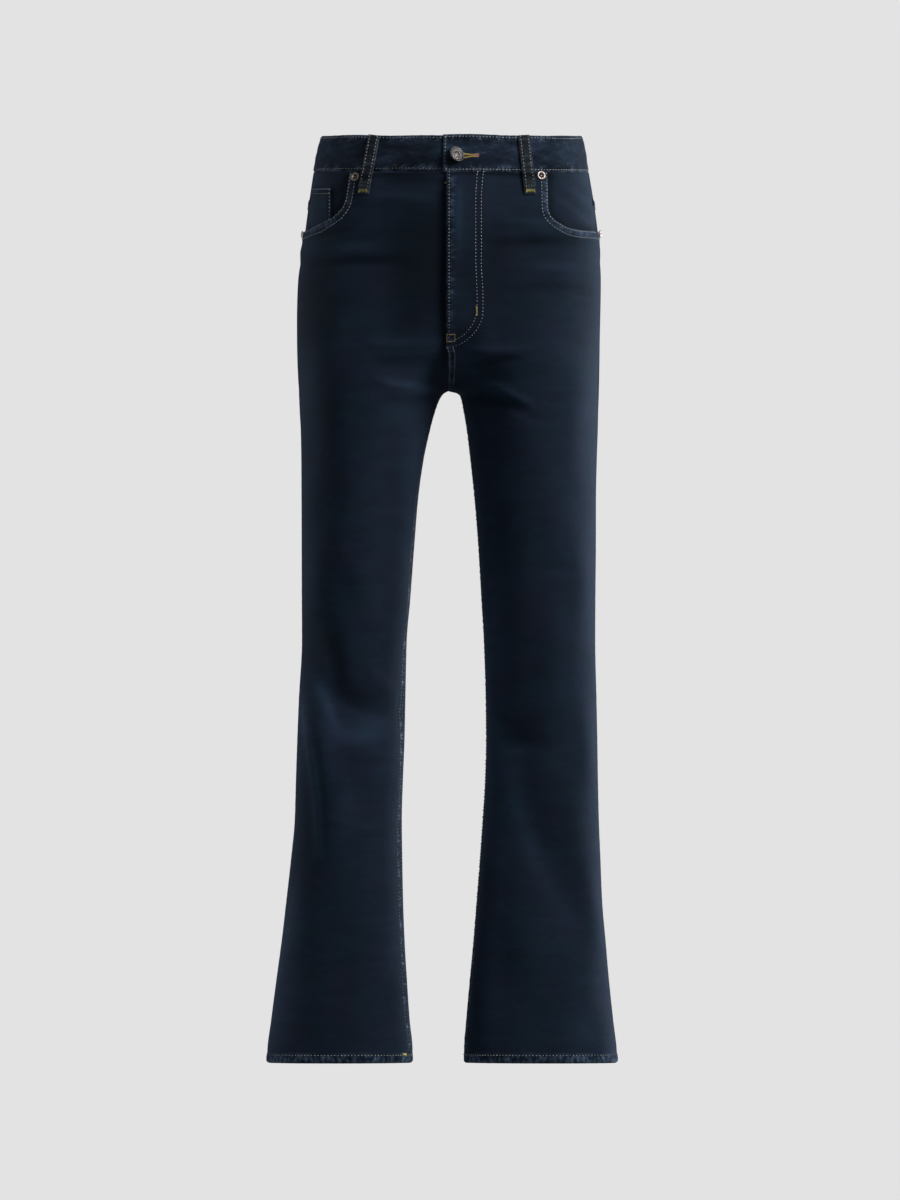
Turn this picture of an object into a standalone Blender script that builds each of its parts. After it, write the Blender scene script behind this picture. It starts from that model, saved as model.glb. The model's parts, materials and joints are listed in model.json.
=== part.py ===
"""High-rise bootcut jeans, filled out with no wearer, as separate sewn pieces.

Metres, +Z up. The front faces -Y, the wearer's left is +X, and the origin is the middle of the waist
opening. Each half of the garment is a stack of round horizontal sections: a superellipse that the
middle plane cuts off above the crotch and that closes into a leg below it.
"""

import math

import bpy
import numpy as np
from mathutils import Vector

# Cloth and seams
WALL = 0.0013
BAND_WALL = 0.0024
HEM_WALL = 0.0027
LOOP_WALL = 0.0016
SEAM_GAP = 0.0003
LAYER_GAP = 0.0007
ZIP_WALL = 0.0010

# Heights of the garment, at the side of the body
BAND_HEIGHT = 0.0410
PANEL_TOP = -BAND_HEIGHT - SEAM_GAP
CROTCH = -0.2900
HEM = -1.0504
HEM_TURN = 0.0090
HEM_STEP = 0.0012

# The middle of the crotch is rounded over by this much, and the side seam sits this far round
BLEND = 0.0200
SIDE_SEAM = math.radians(172.0)
LEG_RADIUS = 0.0600

# How far a level line of the cloth rises towards the back, in metres for each metre
TILT = {
    "height": (0.02, -0.050, -0.160, -0.850, -1.050),
    "rise": (0.08, 0.08, 0.0, 0.0, -0.058),
}

# Outline of each half from the front. Outer is the side of the body. Reach is the inner side, past the
# middle plane while it is under BLEND: below the crotch the leg starts at sqrt(reach^2 - BLEND^2).
OUTLINE = {
    "height": (
        0.020, 0.000, -0.016, -0.039, -0.084, -0.120, -0.141, -0.163, -0.186, -0.209,
        -0.232, -0.254, -0.270, -0.280, -0.290, -0.292, -0.295, -0.313, -0.334, -0.368,
        -0.413, -0.459, -0.527, -0.572, -0.640, -0.686, -0.731, -0.776, -0.822, -0.867,
        -0.913, -0.958, -1.003, -1.037, -1.060,
    ),
    "right_outer": (
        0.1385, 0.1434, 0.1480, 0.1524, 0.1592, 0.1640, 0.1673, 0.1705, 0.1716, 0.1720,
        0.1719, 0.1715, 0.1708, 0.1703, 0.1696, 0.1696, 0.1695, 0.1687, 0.1675, 0.1668,
        0.1665, 0.1663, 0.1661, 0.1659, 0.1695, 0.1714, 0.1730, 0.1744, 0.1788, 0.1839,
        0.1892, 0.1953, 0.2011, 0.2054, 0.2062,
    ),
    "right_reach": (
        -0.1385, -0.1434, -0.1480, -0.1500, -0.1480, -0.1380, -0.1200, -0.0980, -0.0720, -0.0490,
        -0.0280, -0.0090, 0.0100, 0.0165, 0.0200, 0.0206, 0.0215, 0.0251, 0.0289, 0.0345,
        0.0397, 0.0430, 0.0476, 0.0511, 0.0526, 0.0535, 0.0552, 0.0564, 0.0559, 0.0551,
        0.0535, 0.0510, 0.0482, 0.0452, 0.0456,
    ),
    "left_outer": (
        0.1468, 0.1517, 0.1556, 0.1590, 0.1665, 0.1708, 0.1722, 0.1733, 0.1731, 0.1726,
        0.1721, 0.1718, 0.1715, 0.1713, 0.1710, 0.1710, 0.1709, 0.1702, 0.1697, 0.1685,
        0.1675, 0.1674, 0.1668, 0.1666, 0.1681, 0.1691, 0.1699, 0.1710, 0.1729, 0.1747,
        0.1786, 0.1825, 0.1872, 0.1912, 0.1924,
    ),
    "left_reach": (
        -0.1468, -0.1517, -0.1556, -0.1560, -0.1520, -0.1400, -0.1210, -0.0980, -0.0720, -0.0490,
        -0.0280, -0.0090, 0.0100, 0.0165, 0.0200, 0.0231, 0.0243, 0.0268, 0.0292, 0.0323,
        0.0362, 0.0394, 0.0429, 0.0453, 0.0472, 0.0475, 0.0465, 0.0440, 0.0411, 0.0380,
        0.0349, 0.0315, 0.0285, 0.0268, 0.0268,
    ),
}

# Depth of the body from the side. Middle is where it is widest, and fullness is the section's exponent.
DEPTH = {
    "height": (
        0.020, 0.000, -0.050, -0.100, -0.150, -0.200, -0.245, -0.290, -0.340, -0.400,
        -0.460, -0.530, -0.600, -0.660, -0.720, -0.780, -0.860, -0.940, -1.060,
    ),
    "front": (
        -0.090, -0.093, -0.100, -0.105, -0.108, -0.109, -0.107, -0.101, -0.094, -0.087,
        -0.081, -0.075, -0.069, -0.063, -0.058, -0.055, -0.054, -0.056, -0.061,
    ),
    "back": (
        0.092, 0.095, 0.106, 0.119, 0.129, 0.133, 0.128, 0.112, 0.096, 0.084,
        0.075, 0.065, 0.058, 0.056, 0.061, 0.066, 0.067, 0.064, 0.060,
    ),
    "middle": (
        0.000, 0.000, 0.001, 0.004, 0.007, 0.008, 0.008, 0.006, 0.001, -0.003,
        -0.005, -0.006, -0.006, -0.004, 0.000, 0.004, 0.006, 0.004, 0.000,
    ),
    "fullness": (
        2.25, 2.25, 2.25, 2.25, 2.25, 2.20, 2.15, 2.10, 2.10, 2.10,
        2.10, 2.10, 2.10, 2.10, 2.10, 2.10, 2.15, 2.15, 2.20,
    ),
}

# How far each leg is turned, as the angle of its inseam towards the front
INSEAM = {
    "height": (-0.290, -0.320, -0.420, -0.600, -0.760, -0.880, -1.060),
    "right": (0.0, 6.0, 20.0, 27.0, 30.0, 30.0, 28.0),
    "left": (0.0, 0.0, -4.0, -6.0, 0.0, 14.0, 24.0),
}

# The largest folds: a ridge, or a trough where the height is negative, from one point to another
FOLD_DEPTH = (0.004, 0.030)
FOLD_COLUMNS = ("half", "x1", "z1", "x2", "z2", "width", "height")
FOLDS = (
    ("right", 0.150, -0.134, 0.055, -0.136, 0.0075, 0.0016),
    ("right", 0.130, -0.149, 0.015, -0.148, 0.0075, -0.0016),
    ("right", 0.098, -0.245, 0.024, -0.246, 0.0060, 0.0012),
    ("right", 0.082, -0.257, 0.020, -0.257, 0.0060, -0.0014),
    ("right", 0.086, -0.286, 0.018, -0.287, 0.0060, 0.0014),
    ("right", 0.066, -0.299, 0.022, -0.300, 0.0060, -0.0014),
    ("right", 0.126, -0.460, 0.082, -0.549, 0.0160, 0.0022),
    ("right", 0.136, -0.556, 0.100, -0.645, 0.0150, -0.0030),
    ("right", 0.100, -0.645, 0.060, -0.654, 0.0120, -0.0032),
    ("right", 0.149, -0.610, 0.115, -0.678, 0.0140, 0.0028),
    ("right", 0.115, -0.678, 0.080, -0.695, 0.0140, 0.0034),
    ("right", 0.162, -0.656, 0.146, -0.748, 0.0090, 0.0024),
    ("right", 0.146, -0.748, 0.146, -0.806, 0.0090, 0.0016),
    ("left", 0.050, -0.130, 0.155, -0.130, 0.0070, -0.0015),
    ("left", 0.090, -0.156, 0.160, -0.156, 0.0085, 0.0018),
    ("left", 0.080, -0.175, 0.160, -0.176, 0.0085, -0.0016),
    ("left", 0.026, -0.245, 0.086, -0.246, 0.0060, 0.0012),
    ("left", 0.026, -0.260, 0.080, -0.260, 0.0060, -0.0014),
    ("left", 0.026, -0.298, 0.080, -0.300, 0.0070, 0.0014),
    ("left", 0.068, -0.619, 0.105, -0.660, 0.0130, -0.0026),
    ("left", 0.074, -0.690, 0.084, -0.700, 0.0150, 0.0026),
    ("left", 0.060, -0.719, 0.093, -0.797, 0.0150, 0.0028),
    ("left", 0.093, -0.797, 0.127, -0.889, 0.0150, 0.0026),
    ("left", 0.111, -0.723, 0.130, -0.834, 0.0150, -0.0026),
    ("left", 0.130, -0.834, 0.149, -0.878, 0.0140, -0.0024),
)

# Free edge of each pocket opening, from the waistband to the side seam
POCKET_EDGE = {
    "right": {
        "x": (0.1095, 0.1106, 0.1141, 0.1215, 0.1318, 0.1432, 0.1604, 0.1660),
        "z": (-0.0470, -0.0566, -0.0797, -0.0935, -0.1009, -0.1061, -0.1113, -0.1124),
    },
    "left": {
        "x": (0.1103, 0.1105, 0.1112, 0.1148, 0.1245, 0.1368, 0.1489, 0.1690),
        "z": (-0.0470, -0.0563, -0.0879, -0.0977, -0.1050, -0.1099, -0.1110, -0.1104),
    },
}
POCKET_LIFT = WALL + LAYER_GAP
POCKET_CLEAR = 0.008
POCKET_FADE = 0.032
COIN_LIFT_FROM = (0.101, 0.125)
COIN_LIFT_DEPTH = (-0.026, -0.010)
COIN_LIFT = 2 * WALL + 2 * LAYER_GAP
POCKET_MARGIN = 0.012

# Fly: the left front lies over the right one
FLY_LIFT = 2 * LAYER_GAP + ZIP_WALL + WALL
FLY_BOTTOM = -0.243
FLY_RUN_OUT = 0.024
FLY_OVERLAP = 0.0020
FLY_OVERLAP_TO = 0.030
FLY_OVERLAP_END = 0.006
FLY_FLAT_TO = 0.034
FLY_FADE_TO = 0.060
SHIELD_WIDTH = 0.033
SHIELD_BOTTOM = -0.232
ZIP_SIDE = (0.008, 0.026)
ZIP_DROP = 0.006
ZIP_BOTTOM = -0.222

# Waistband closure, as distances along the band from the centre front
BAND_STANDOFF = 0.0009
BAND_OVER_END = 0.0050
BAND_UNDER_END = 0.0260
BAND_OVER_LIFT = 0.0020
BAND_UNDER_SINK = 0.0012

# Belt loops: the angle of each round the waist comes from its place in front of, beside or behind
LOOP_WIDTH = 0.0115
LOOP_COLUMNS = ("name", "half", "face", "top_x", "bottom_x")
LOOPS = (
    ("loop_front_right", "right", "front", 0.0831, 0.0950),
    ("loop_front_left", "left", "front", 0.0842, 0.0904),
    ("loop_side_right", "right", "back", 0.1240, 0.1290),
    ("loop_side_left", "left", "back", 0.1290, 0.1340),
    ("loop_back", "left", "back", 0.0000, 0.0000),
)
LOOP_BOTTOM = -0.0665
LOOP_RISE = 0.0012
LOOP_STANDOFF = 0.0022

# Yoke seam at the centre back and at the side
YOKE_CENTRE = -0.118
YOKE_SIDE = -0.082
YOKE_SWEEP = 0.9

# Back pockets
BACK_POCKET_X = (0.022, 0.142)
BACK_POCKET_TOP = (-0.132, -0.122)
BACK_POCKET_SIDE_DEPTH = 0.108
BACK_POCKET_POINT_DEPTH = 0.130
BACK_POCKET_TAPER = 0.011

# Coin pocket, on the wearer's right facing
COIN_WALL = 0.0010
COIN_X = (0.1310, 0.1530)
COIN_TOP = (-0.0640, -0.0618)

# Metal fittings
BUTTON_X = 0.0106
BUTTON_Z = -0.0282
RIVETS = {"right": (0.1035, -0.0535), "left": (0.1032, -0.0519)}
SIDE_RIVETS = {"right": -0.1130, "left": -0.1118}

# How finely the panels are cut up. Beside the seam a row's columns spread or close up
FRONT_COLUMNS = 14
BACK_COLUMNS = 12
SEAM_SHARE = 0.4
LENGTH_WINDOW = 0.055
ROW_SAMPLES = 181
ROW_CROWDING = 1.6
EDGE_SAMPLES = 200
EDGE_SWEEP = 1.5
SETTLE_ROWS = 6
STRIP_ROWS = 9
POCKET_ROWS = 12
POCKET_ROW_CENTRE = -0.134
POCKET_ROW_SIDE = -0.1124
LEG_ROWS = (
    -0.302, -0.313, -0.334, -0.362, -0.395, -0.430, -0.465, -0.500, -0.535, -0.565,
    -0.590, -0.612, -0.632, -0.652, -0.672, -0.692, -0.712, -0.735, -0.760, -0.790,
    -0.825, -0.865, -0.910, -0.955, -1.000,
)
CROTCH_ROWS = (-0.270, -0.280, -0.285, -0.2875, CROTCH, -0.2917, -0.2951)
HIP_ROWS = (-0.141, -0.148, -0.162, -0.176, -0.190, -0.204, -0.218, -0.232, -0.246, -0.258)

# Metal turned from radii and heights above its seat
BUTTON_PROFILE = (
    (0.0034, 0.0000), (0.0034, 0.0014), (0.0077, 0.0016), (0.0089, 0.0024),
    (0.0089, 0.0034), (0.0080, 0.0041), (0.0067, 0.0036), (0.0024, 0.0042),
)
BUTTON_SIDES = 28
RIVET_PROFILE = (
    (0.0048, 0.0), (0.0052, 0.0005), (0.0043, 0.0013), (0.0026, 0.0014),
    (0.0019, 0.0007), (0.0010, 0.0008), (0.0005, 0.0014),
)
RIVET_SIDES = 16
SIDE_RIVET_PROFILE = ((0.0042, 0.0), (0.0042, 0.0006), (0.0030, 0.0012), (0.0010, 0.0020))
SIDE_RIVET_SIDES = 14
SIDE_RIVET_FORWARD = 0.0165
SIDE_RIVET_LEAN = -0.28

# Places along the band with their own columns, and how far the band's ends rise or sink
BAND_NEAR = (-BAND_OVER_END, 0.006, 0.018, 0.030, 0.042, 0.054, 0.066)
BAND_MIDDLE = (0.080, 0.050)
BAND_MIDDLE_COLUMNS = 48
BAND_FAR = (-0.036, -0.024, -0.012, 0.0, 0.013, BAND_UNDER_END)
BAND_RISE_AT = (0.034, 0.066)
BAND_SINK_AT = (-0.030, -0.006)

# Where a loop leaves the band for the panel below it, and where it stands off
LOOP_BELOW_BAND = (0.004, 0.012)
LOOP_STANDS = (0.02, 0.94)

DENIM = {"color": (0.012, 0.018, 0.030, 1.0), "roughness": 0.85, "metallic": 0.0}
TAPE = {"color": (0.010, 0.012, 0.020, 1.0), "roughness": 0.80, "metallic": 0.0}
STEEL = {"color": (0.42, 0.41, 0.41, 1.0), "roughness": 0.38, "metallic": 1.0}
COPPER = {"color": (0.36, 0.30, 0.27, 1.0), "roughness": 0.42, "metallic": 1.0}

# Each half is worked out on the positive side, and the wearer's right is turned over to -X
SIGN = {"right": -1.0, "left": 1.0}


def smooth_step(value, low, high):
    """0 below low, 1 above high, and an S curve between."""
    part = np.clip((np.asarray(value, float) - low) / (high - low), 0.0, 1.0)
    return part * part * (3.0 - 2.0 * part)


def column(table, name, height):
    """A table's column at any height, through a smooth curve that never overshoots its rows."""
    knots = -np.asarray(table["height"], float)
    values = np.asarray(table[name], float)
    steps = np.diff(knots)
    rates = np.diff(values) / steps
    slopes = np.empty_like(values)
    slopes[0] = rates[0]
    slopes[-1] = rates[-1]
    before, after = rates[:-1], rates[1:]
    same_way = before * after > 0
    total = np.where(same_way, before + after, 1.0)
    slopes[1:-1] = np.where(same_way, 2.0 * before * after / total, 0.0)
    where = np.clip(-np.asarray(height, float), knots[0], knots[-1])
    index = np.clip(np.searchsorted(knots, where) - 1, 0, len(steps) - 1)
    step = steps[index]
    part = (where - knots[index]) / step
    start = values[index] * (1 + 2 * part) * (1 - part) ** 2
    end = values[index + 1] * part**2 * (3 - 2 * part)
    leave = slopes[index] * step * part * (1 - part) ** 2
    arrive = slopes[index + 1] * step * part**2 * (part - 1)
    return start + end + leave + arrive


def section(half, height):
    """Centre, half width, front and back depth, middle and exponent of a half's round section."""
    outer = np.hypot(column(OUTLINE, half + "_outer", height), BLEND)
    reach = column(OUTLINE, half + "_reach", height)
    middle = column(DEPTH, "middle", height)
    front = middle - column(DEPTH, "front", height)
    back = column(DEPTH, "back", height) - middle
    return (outer + reach) / 2, (outer - reach) / 2, front, back, middle, column(DEPTH, "fullness", height)


def level(base, depth):
    """Height of the level line that passes the side of the body at base, where the cloth is at depth."""
    return base + column({"height": TILT["height"], "rise": TILT["rise"]}, "rise", base) * depth


def start_turn(half, face, height):
    """Angle at which a panel starts: the centre seam above the crotch, the inseam below it."""
    centre, width, _, _, _, power = section(half, height)
    edge = np.hypot(SEAM_GAP / 2, BLEND)
    cut = np.clip((centre - edge) / width, -1.0, 1.0)
    seam = np.arccos(np.sign(cut) * np.abs(cut) ** (power / 2))
    inseam = np.radians(column({"height": INSEAM["height"], "turn": INSEAM[half]}, "turn", height))
    below = np.asarray(height) < CROTCH
    if face == "front":
        return np.where(below, inseam + SEAM_GAP / 2 / LEG_RADIUS, np.maximum(seam, SEAM_GAP / 2 / LEG_RADIUS))
    return np.where(below, inseam - SEAM_GAP / 2 / LEG_RADIUS, -np.maximum(seam, SEAM_GAP / 2 / LEG_RADIUS))


def end_turn(half, face, height):
    """Angle of the side seam."""
    width = section(half, height)[1]
    margin = SEAM_GAP / 2 / width
    if face == "front":
        return SIDE_SEAM - margin
    return SIDE_SEAM - 2 * math.pi + margin


def skin(half, height, turn):
    """Distance from the middle plane, and depth, of the cloth at an angle round its section."""
    centre, width, front, back, middle, power = section(half, height)
    across = np.cos(turn)
    along = np.sin(turn)
    bend = centre - width * np.sign(across) * np.abs(across) ** (2 / power)
    depth = np.where(along > 0, -front, back) * np.abs(along) ** (2 / power)
    return np.sqrt(np.maximum(bend**2 - BLEND**2, 0.0)), middle + depth


def dense_row(half, face, height):
    """Samples of one half's face at each height, with the share of its length up to each."""
    height = np.asarray(height, float)[..., None]
    share = np.linspace(0.0, 1.0, ROW_SAMPLES) ** ROW_CROWDING
    first = start_turn(half, face, height)
    turn = first + (end_turn(half, face, height) - first) * share
    x, y = skin(half, height, turn)
    length = np.cumsum(np.hypot(np.diff(x), np.diff(y)), axis=-1)
    length = np.concatenate([np.zeros_like(length[..., :1]), length], axis=-1)
    return x, y, length


def spot(half, face, height, fraction):
    """The cloth's point at a height, a fraction of the way from its centre seam or inseam to its side."""
    height, fraction = np.broadcast_arrays(np.asarray(height, float), np.asarray(fraction, float))
    x, y, length = dense_row(half, face, height)
    flat = [part.reshape(-1, part.shape[-1]) for part in (x, y, length)]
    out = np.empty((height.size, 2))
    for index, share in enumerate(fraction.ravel()):
        goal = share * flat[2][index, -1]
        out[index] = (
            np.interp(goal, flat[2][index], flat[0][index]),
            np.interp(goal, flat[2][index], flat[1][index]),
        )
    out = out.reshape(height.shape + (2,))
    return np.stack([out[..., 0], out[..., 1], height], axis=-1)


def column_shares(half, face, height, share):
    """Shares for a row's columns. Where the rows change length quickly the columns stay in line, and only
    those next to the seam spread or close up."""
    near = height + np.linspace(-LENGTH_WINDOW, LENGTH_WINDOW, 5)
    lengths = dense_row(half, face, near)[2][:, -1]
    steady = lengths.mean() / lengths[2]
    kept = 1.0 - (1.0 - share) * steady
    turning = 1.0 - (1.0 - SEAM_SHARE) * steady
    return np.where(share < SEAM_SHARE, share / SEAM_SHARE * turning, kept)


def fraction_at(half, face, height, distance):
    """Fraction of the way round at which the cloth is a distance from the middle plane."""
    x, _, length = dense_row(half, face, np.asarray([height], float))
    widest = int(np.argmax(x[0]))
    return float(np.interp(distance, x[0][: widest + 1], length[0][: widest + 1]) / length[0, -1])


def outside(half, points):
    """A value that grows outwards through the cloth, for points of one half."""
    centre, width, front, back, middle, power = section(half, points[..., 2])
    bend = np.hypot(points[..., 0], BLEND)
    depth = points[..., 1] - middle
    side = np.where(depth < 0, front, back)
    return np.abs((bend - centre) / width) ** power + np.abs(depth / side) ** power


def normals(half, points):
    """Outward directions of the cloth at its points."""
    step = 0.0004
    slope = np.empty_like(points)
    for axis in range(3):
        shift = np.zeros(3)
        shift[axis] = step
        slope[..., axis] = outside(half, points + shift) - outside(half, points - shift)
    return slope / np.linalg.norm(slope, axis=-1, keepdims=True)


def fold_lift(half, points):
    """Height of the folds over the plain form, on the front."""
    lift = np.zeros(points.shape[:-1])
    for row in FOLDS:
        fold = dict(zip(FOLD_COLUMNS, row))
        if fold["half"] != half:
            continue
        start = np.array((fold["x1"], fold["z1"]))
        way = np.array((fold["x2"], fold["z2"])) - start
        from_start = points[..., [0, 2]] - start
        along = np.clip(from_start @ way / (way @ way), 0.0, 1.0)
        distance = np.linalg.norm(from_start - along[..., None] * way, axis=-1)
        lift += fold["height"] * np.exp(-((distance / fold["width"]) ** 2))
    middle = section(half, points[..., 2])[4]
    return lift * smooth_step(middle - points[..., 1], *FOLD_DEPTH)


def front_depth(half, x, z):
    """Depth of the front's plain form at distances from the middle plane and heights."""
    centre, width, front, _, middle, power = section(half, z)
    across = np.clip(np.abs((np.hypot(x, BLEND) - centre) / width), 0.0, 1.0)
    return middle - front * (1.0 - across**power) ** (1 / power)


def edge_curve(half, count):
    """Points of the pocket's free edge, evenly spaced on the cloth: distances from the middle plane and
    heights."""
    x = np.asarray(POCKET_EDGE[half]["x"])
    z = np.asarray(POCKET_EDGE[half]["z"])
    length = np.concatenate([[0.0], np.cumsum(np.hypot(np.diff(x), np.diff(z)))])
    fine = np.linspace(0.0, length[-1], EDGE_SAMPLES)
    rounded = [column({"height": -length, "value": values}, "value", -fine) for values in (x, z)]
    steps = np.diff(np.stack([*rounded, front_depth(half, *rounded)]), axis=1)
    length = np.concatenate([[0.0], np.cumsum(np.linalg.norm(steps, axis=0))])
    even = np.linspace(0.0, length[-1], count)
    return np.interp(even, length, rounded[0]), np.interp(even, length, rounded[1])


def edge_distance(half, points):
    """Distance of each point from the pocket's free edge, seen from the front."""
    x, z = edge_curve(half, EDGE_SAMPLES)
    gap = np.hypot(points[..., 0, None] - x, points[..., 2, None] - z)
    return gap.min(axis=-1)


def front_lift(half, points):
    """How far a front stands off the plain form over its pocket facing and over the fly."""
    away = edge_distance(half, points)
    full = POCKET_LIFT
    if half == "right":
        coin = smooth_step(points[..., 0], *COIN_LIFT_FROM)
        coin *= 1.0 - smooth_step(points[..., 1], *COIN_LIFT_DEPTH)
        full = POCKET_LIFT + (COIN_LIFT - POCKET_LIFT) * coin
    lift = full * (1.0 - smooth_step(away, POCKET_MARGIN + POCKET_CLEAR, POCKET_MARGIN + POCKET_FADE))
    if half == "left":
        near = 1.0 - smooth_step(points[..., 0], FLY_FLAT_TO, FLY_FADE_TO)
        lift = np.maximum(lift, FLY_LIFT * near * fly_zone(points[..., 2]))
    return lift


def fly_zone(height):
    """1 along the fly, fading to 0 below it."""
    return smooth_step(height, FLY_BOTTOM - FLY_RUN_OUT, FLY_BOTTOM)


def material(name, look):
    made = bpy.data.materials.new(name)
    made.use_nodes = True
    shader = made.node_tree.nodes["Principled BSDF"]
    shader.inputs["Base Color"].default_value = look["color"]
    shader.inputs["Roughness"].default_value = look["roughness"]
    shader.inputs["Metallic"].default_value = look["metallic"]
    made.diffuse_color = look["color"]
    return made


def sheet(name, outer, facing, wall, look, half="left"):
    """A closed solid: a grid of outer points, moved in by the wall along each point's own direction."""
    rows, columns = outer.shape[:2]
    inner = outer - facing * np.broadcast_to(wall, (rows, columns))[..., None]
    points = np.concatenate([outer.reshape(-1, 3), inner.reshape(-1, 3)])
    points = points * (SIGN[half], 1.0, 1.0)
    under = rows * columns
    faces = []
    for row in range(rows - 1):
        for spot_index in range(columns - 1):
            a = row * columns + spot_index
            faces.append((a, a + columns, a + columns + 1, a + 1))
            faces.append((under + a, under + a + 1, under + a + columns + 1, under + a + columns))
    rim = [*range(columns)]
    rim += [row * columns + columns - 1 for row in range(1, rows)]
    rim += [(rows - 1) * columns + spot_index for spot_index in range(columns - 2, -1, -1)]
    rim += [row * columns for row in range(rows - 2, 0, -1)]
    for a, b in zip(rim, rim[1:] + rim[:1]):
        faces.append((a, b, under + b, under + a))
    return solid(name, points, faces, look)


def solid(name, points, faces, look):
    """An object from points and faces, with its faces turned outwards."""
    mesh = bpy.data.meshes.new(name)
    mesh.from_pydata([tuple(point) for point in points], [], faces)
    if signed_volume(mesh) < 0:
        mesh.flip_normals()
    mesh.materials.append(material(name, look))
    mesh.validate()
    made = bpy.data.objects.new(name, mesh)
    bpy.context.collection.objects.link(made)
    return made


def signed_volume(mesh):
    mesh.calc_loop_triangles()
    total = 0.0
    for triangle in mesh.loop_triangles:
        a, b, c = (mesh.vertices[index].co for index in triangle.vertices)
        total += a.dot(b.cross(c))
    return total


def front_panel(half, look):
    """A front, from the waistband to its turned-up hem, with the scooped pocket opening."""
    share = np.linspace(0.0, 1.0, FRONT_COLUMNS + 1)
    edge_x, edge_z = edge_curve(half, POCKET_ROWS + 1)
    rows = []
    for index in range(POCKET_ROWS + 1):
        reach = fraction_at(half, "front", edge_z[index], edge_x[index])
        reach = 1.0 if index == POCKET_ROWS else reach
        base = PANEL_TOP + (POCKET_ROW_CENTRE - PANEL_TOP) * index / POCKET_ROWS
        flat = spot(half, "front", np.full_like(share, base), share * reach)
        height = level(base, flat[:, 1])
        end = min(edge_z[index], level(PANEL_TOP, flat[-1, 1])) - height[-1]
        rows.append(spot(half, "front", height + end * share**EDGE_SWEEP, share * reach))
    for order, base in enumerate(HIP_ROWS + CROTCH_ROWS + LEG_ROWS):
        rise = (POCKET_ROW_SIDE - POCKET_ROW_CENTRE) * max(0.0, 1.0 - order / SETTLE_ROWS) * share**EDGE_SWEEP
        rows.append(spot(half, "front", base + rise, column_shares(half, "front", base, share)))
    for base in (HEM + HEM_TURN, HEM + HEM_TURN - HEM_STEP, HEM):
        flat = spot(half, "front", np.full_like(share, base), share)
        rows.append(spot(half, "front", level(base, flat[:, 1]), share))
    points = np.stack(rows)
    facing = normals(half, points)
    outer = points + facing * (fold_lift(half, points) + front_lift(half, points))[..., None]
    if half == "left":
        near = 1.0 - smooth_step(points[..., 0], 0.0, FLY_OVERLAP_TO)
        closed = smooth_step(points[..., 2], FLY_BOTTOM - FLY_OVERLAP_END, FLY_BOTTOM)
        outer[..., 0] -= FLY_OVERLAP * near * closed
    return sheet("front_" + half, outer, facing, wall_of_rows(len(rows)), look, half)


def wall_of_rows(count):
    """Wall of each row of a panel: doubled over the turned-up hem, in its last two rows."""
    wall = np.full((count, 1), WALL)
    wall[-2:] = HEM_WALL
    return wall


def yoke_seam(share):
    """Height of the yoke seam, from the centre back to the side."""
    return YOKE_CENTRE + (YOKE_SIDE - YOKE_CENTRE) * share**YOKE_SWEEP


def back_panel(half, look):
    """A back, from the yoke to its turned-up hem."""
    share = np.linspace(0.0, 1.0, BACK_COLUMNS + 1)
    rows = []
    for part in np.linspace(0.0, 1.0, 5):
        height = yoke_seam(share) - SEAM_GAP / 2
        rows.append(spot(half, "back", height + (HIP_ROWS[2] - height) * part, share))
    for base in HIP_ROWS[3:] + CROTCH_ROWS + LEG_ROWS:
        rows.append(spot(half, "back", np.full_like(share, base), column_shares(half, "back", base, share)))
    for base in (HEM + HEM_TURN, HEM + HEM_TURN - HEM_STEP, HEM):
        flat = spot(half, "back", np.full_like(share, base), share)
        rows.append(spot(half, "back", level(base, flat[:, 1]), share))
    points = np.stack(rows)
    return sheet("back_" + half, points, normals(half, points), wall_of_rows(len(rows)), look, half)


def yoke(half, look):
    """The piece between the waistband and the back."""
    share = np.linspace(0.0, 1.0, BACK_COLUMNS + 1)
    rows = []
    flat = spot(half, "back", np.full_like(share, PANEL_TOP), share)
    high = level(PANEL_TOP, flat[:, 1])
    for part in np.linspace(0.0, 1.0, 4):
        low = yoke_seam(share) + SEAM_GAP / 2
        rows.append(spot(half, "back", high + (low - high) * part, share))
    points = np.stack(rows)
    return sheet("yoke_" + half, points, normals(half, points), WALL, look, half)


def pocket_facing(half, look):
    """The denim behind the pocket opening, from under the front to the waistband and the side seam."""
    edge_x, edge_z = edge_curve(half, 10)
    slope_x, slope_z = np.gradient(edge_x), np.gradient(edge_z)
    steep = np.hypot(slope_x, slope_z)
    under_x = edge_x + slope_z / steep * POCKET_MARGIN
    under_z = edge_z - slope_x / steep * POCKET_MARGIN
    share = np.linspace(0.0, 1.0, 7)
    rows = []
    for index in range(9):
        down = index / 8
        start = fraction_at(half, "front", under_z[index], under_x[index])
        part = start + (1.0 - start) * share
        flat = spot(half, "front", np.full_like(share, PANEL_TOP), part)
        high = level(PANEL_TOP, flat[:, 1])
        inner = min(under_z[index], high[0])
        outer = PANEL_TOP + (under_z[8] - PANEL_TOP) * down
        rows.append(spot(half, "front", np.where(down > 0, inner + (outer - inner) * share, high), part))
    points = np.stack(rows)
    facing = normals(half, points)
    outer = points + facing * fold_lift(half, points)[..., None]
    return sheet("pocket_facing_" + half, outer, facing, WALL, look, half)


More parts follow.
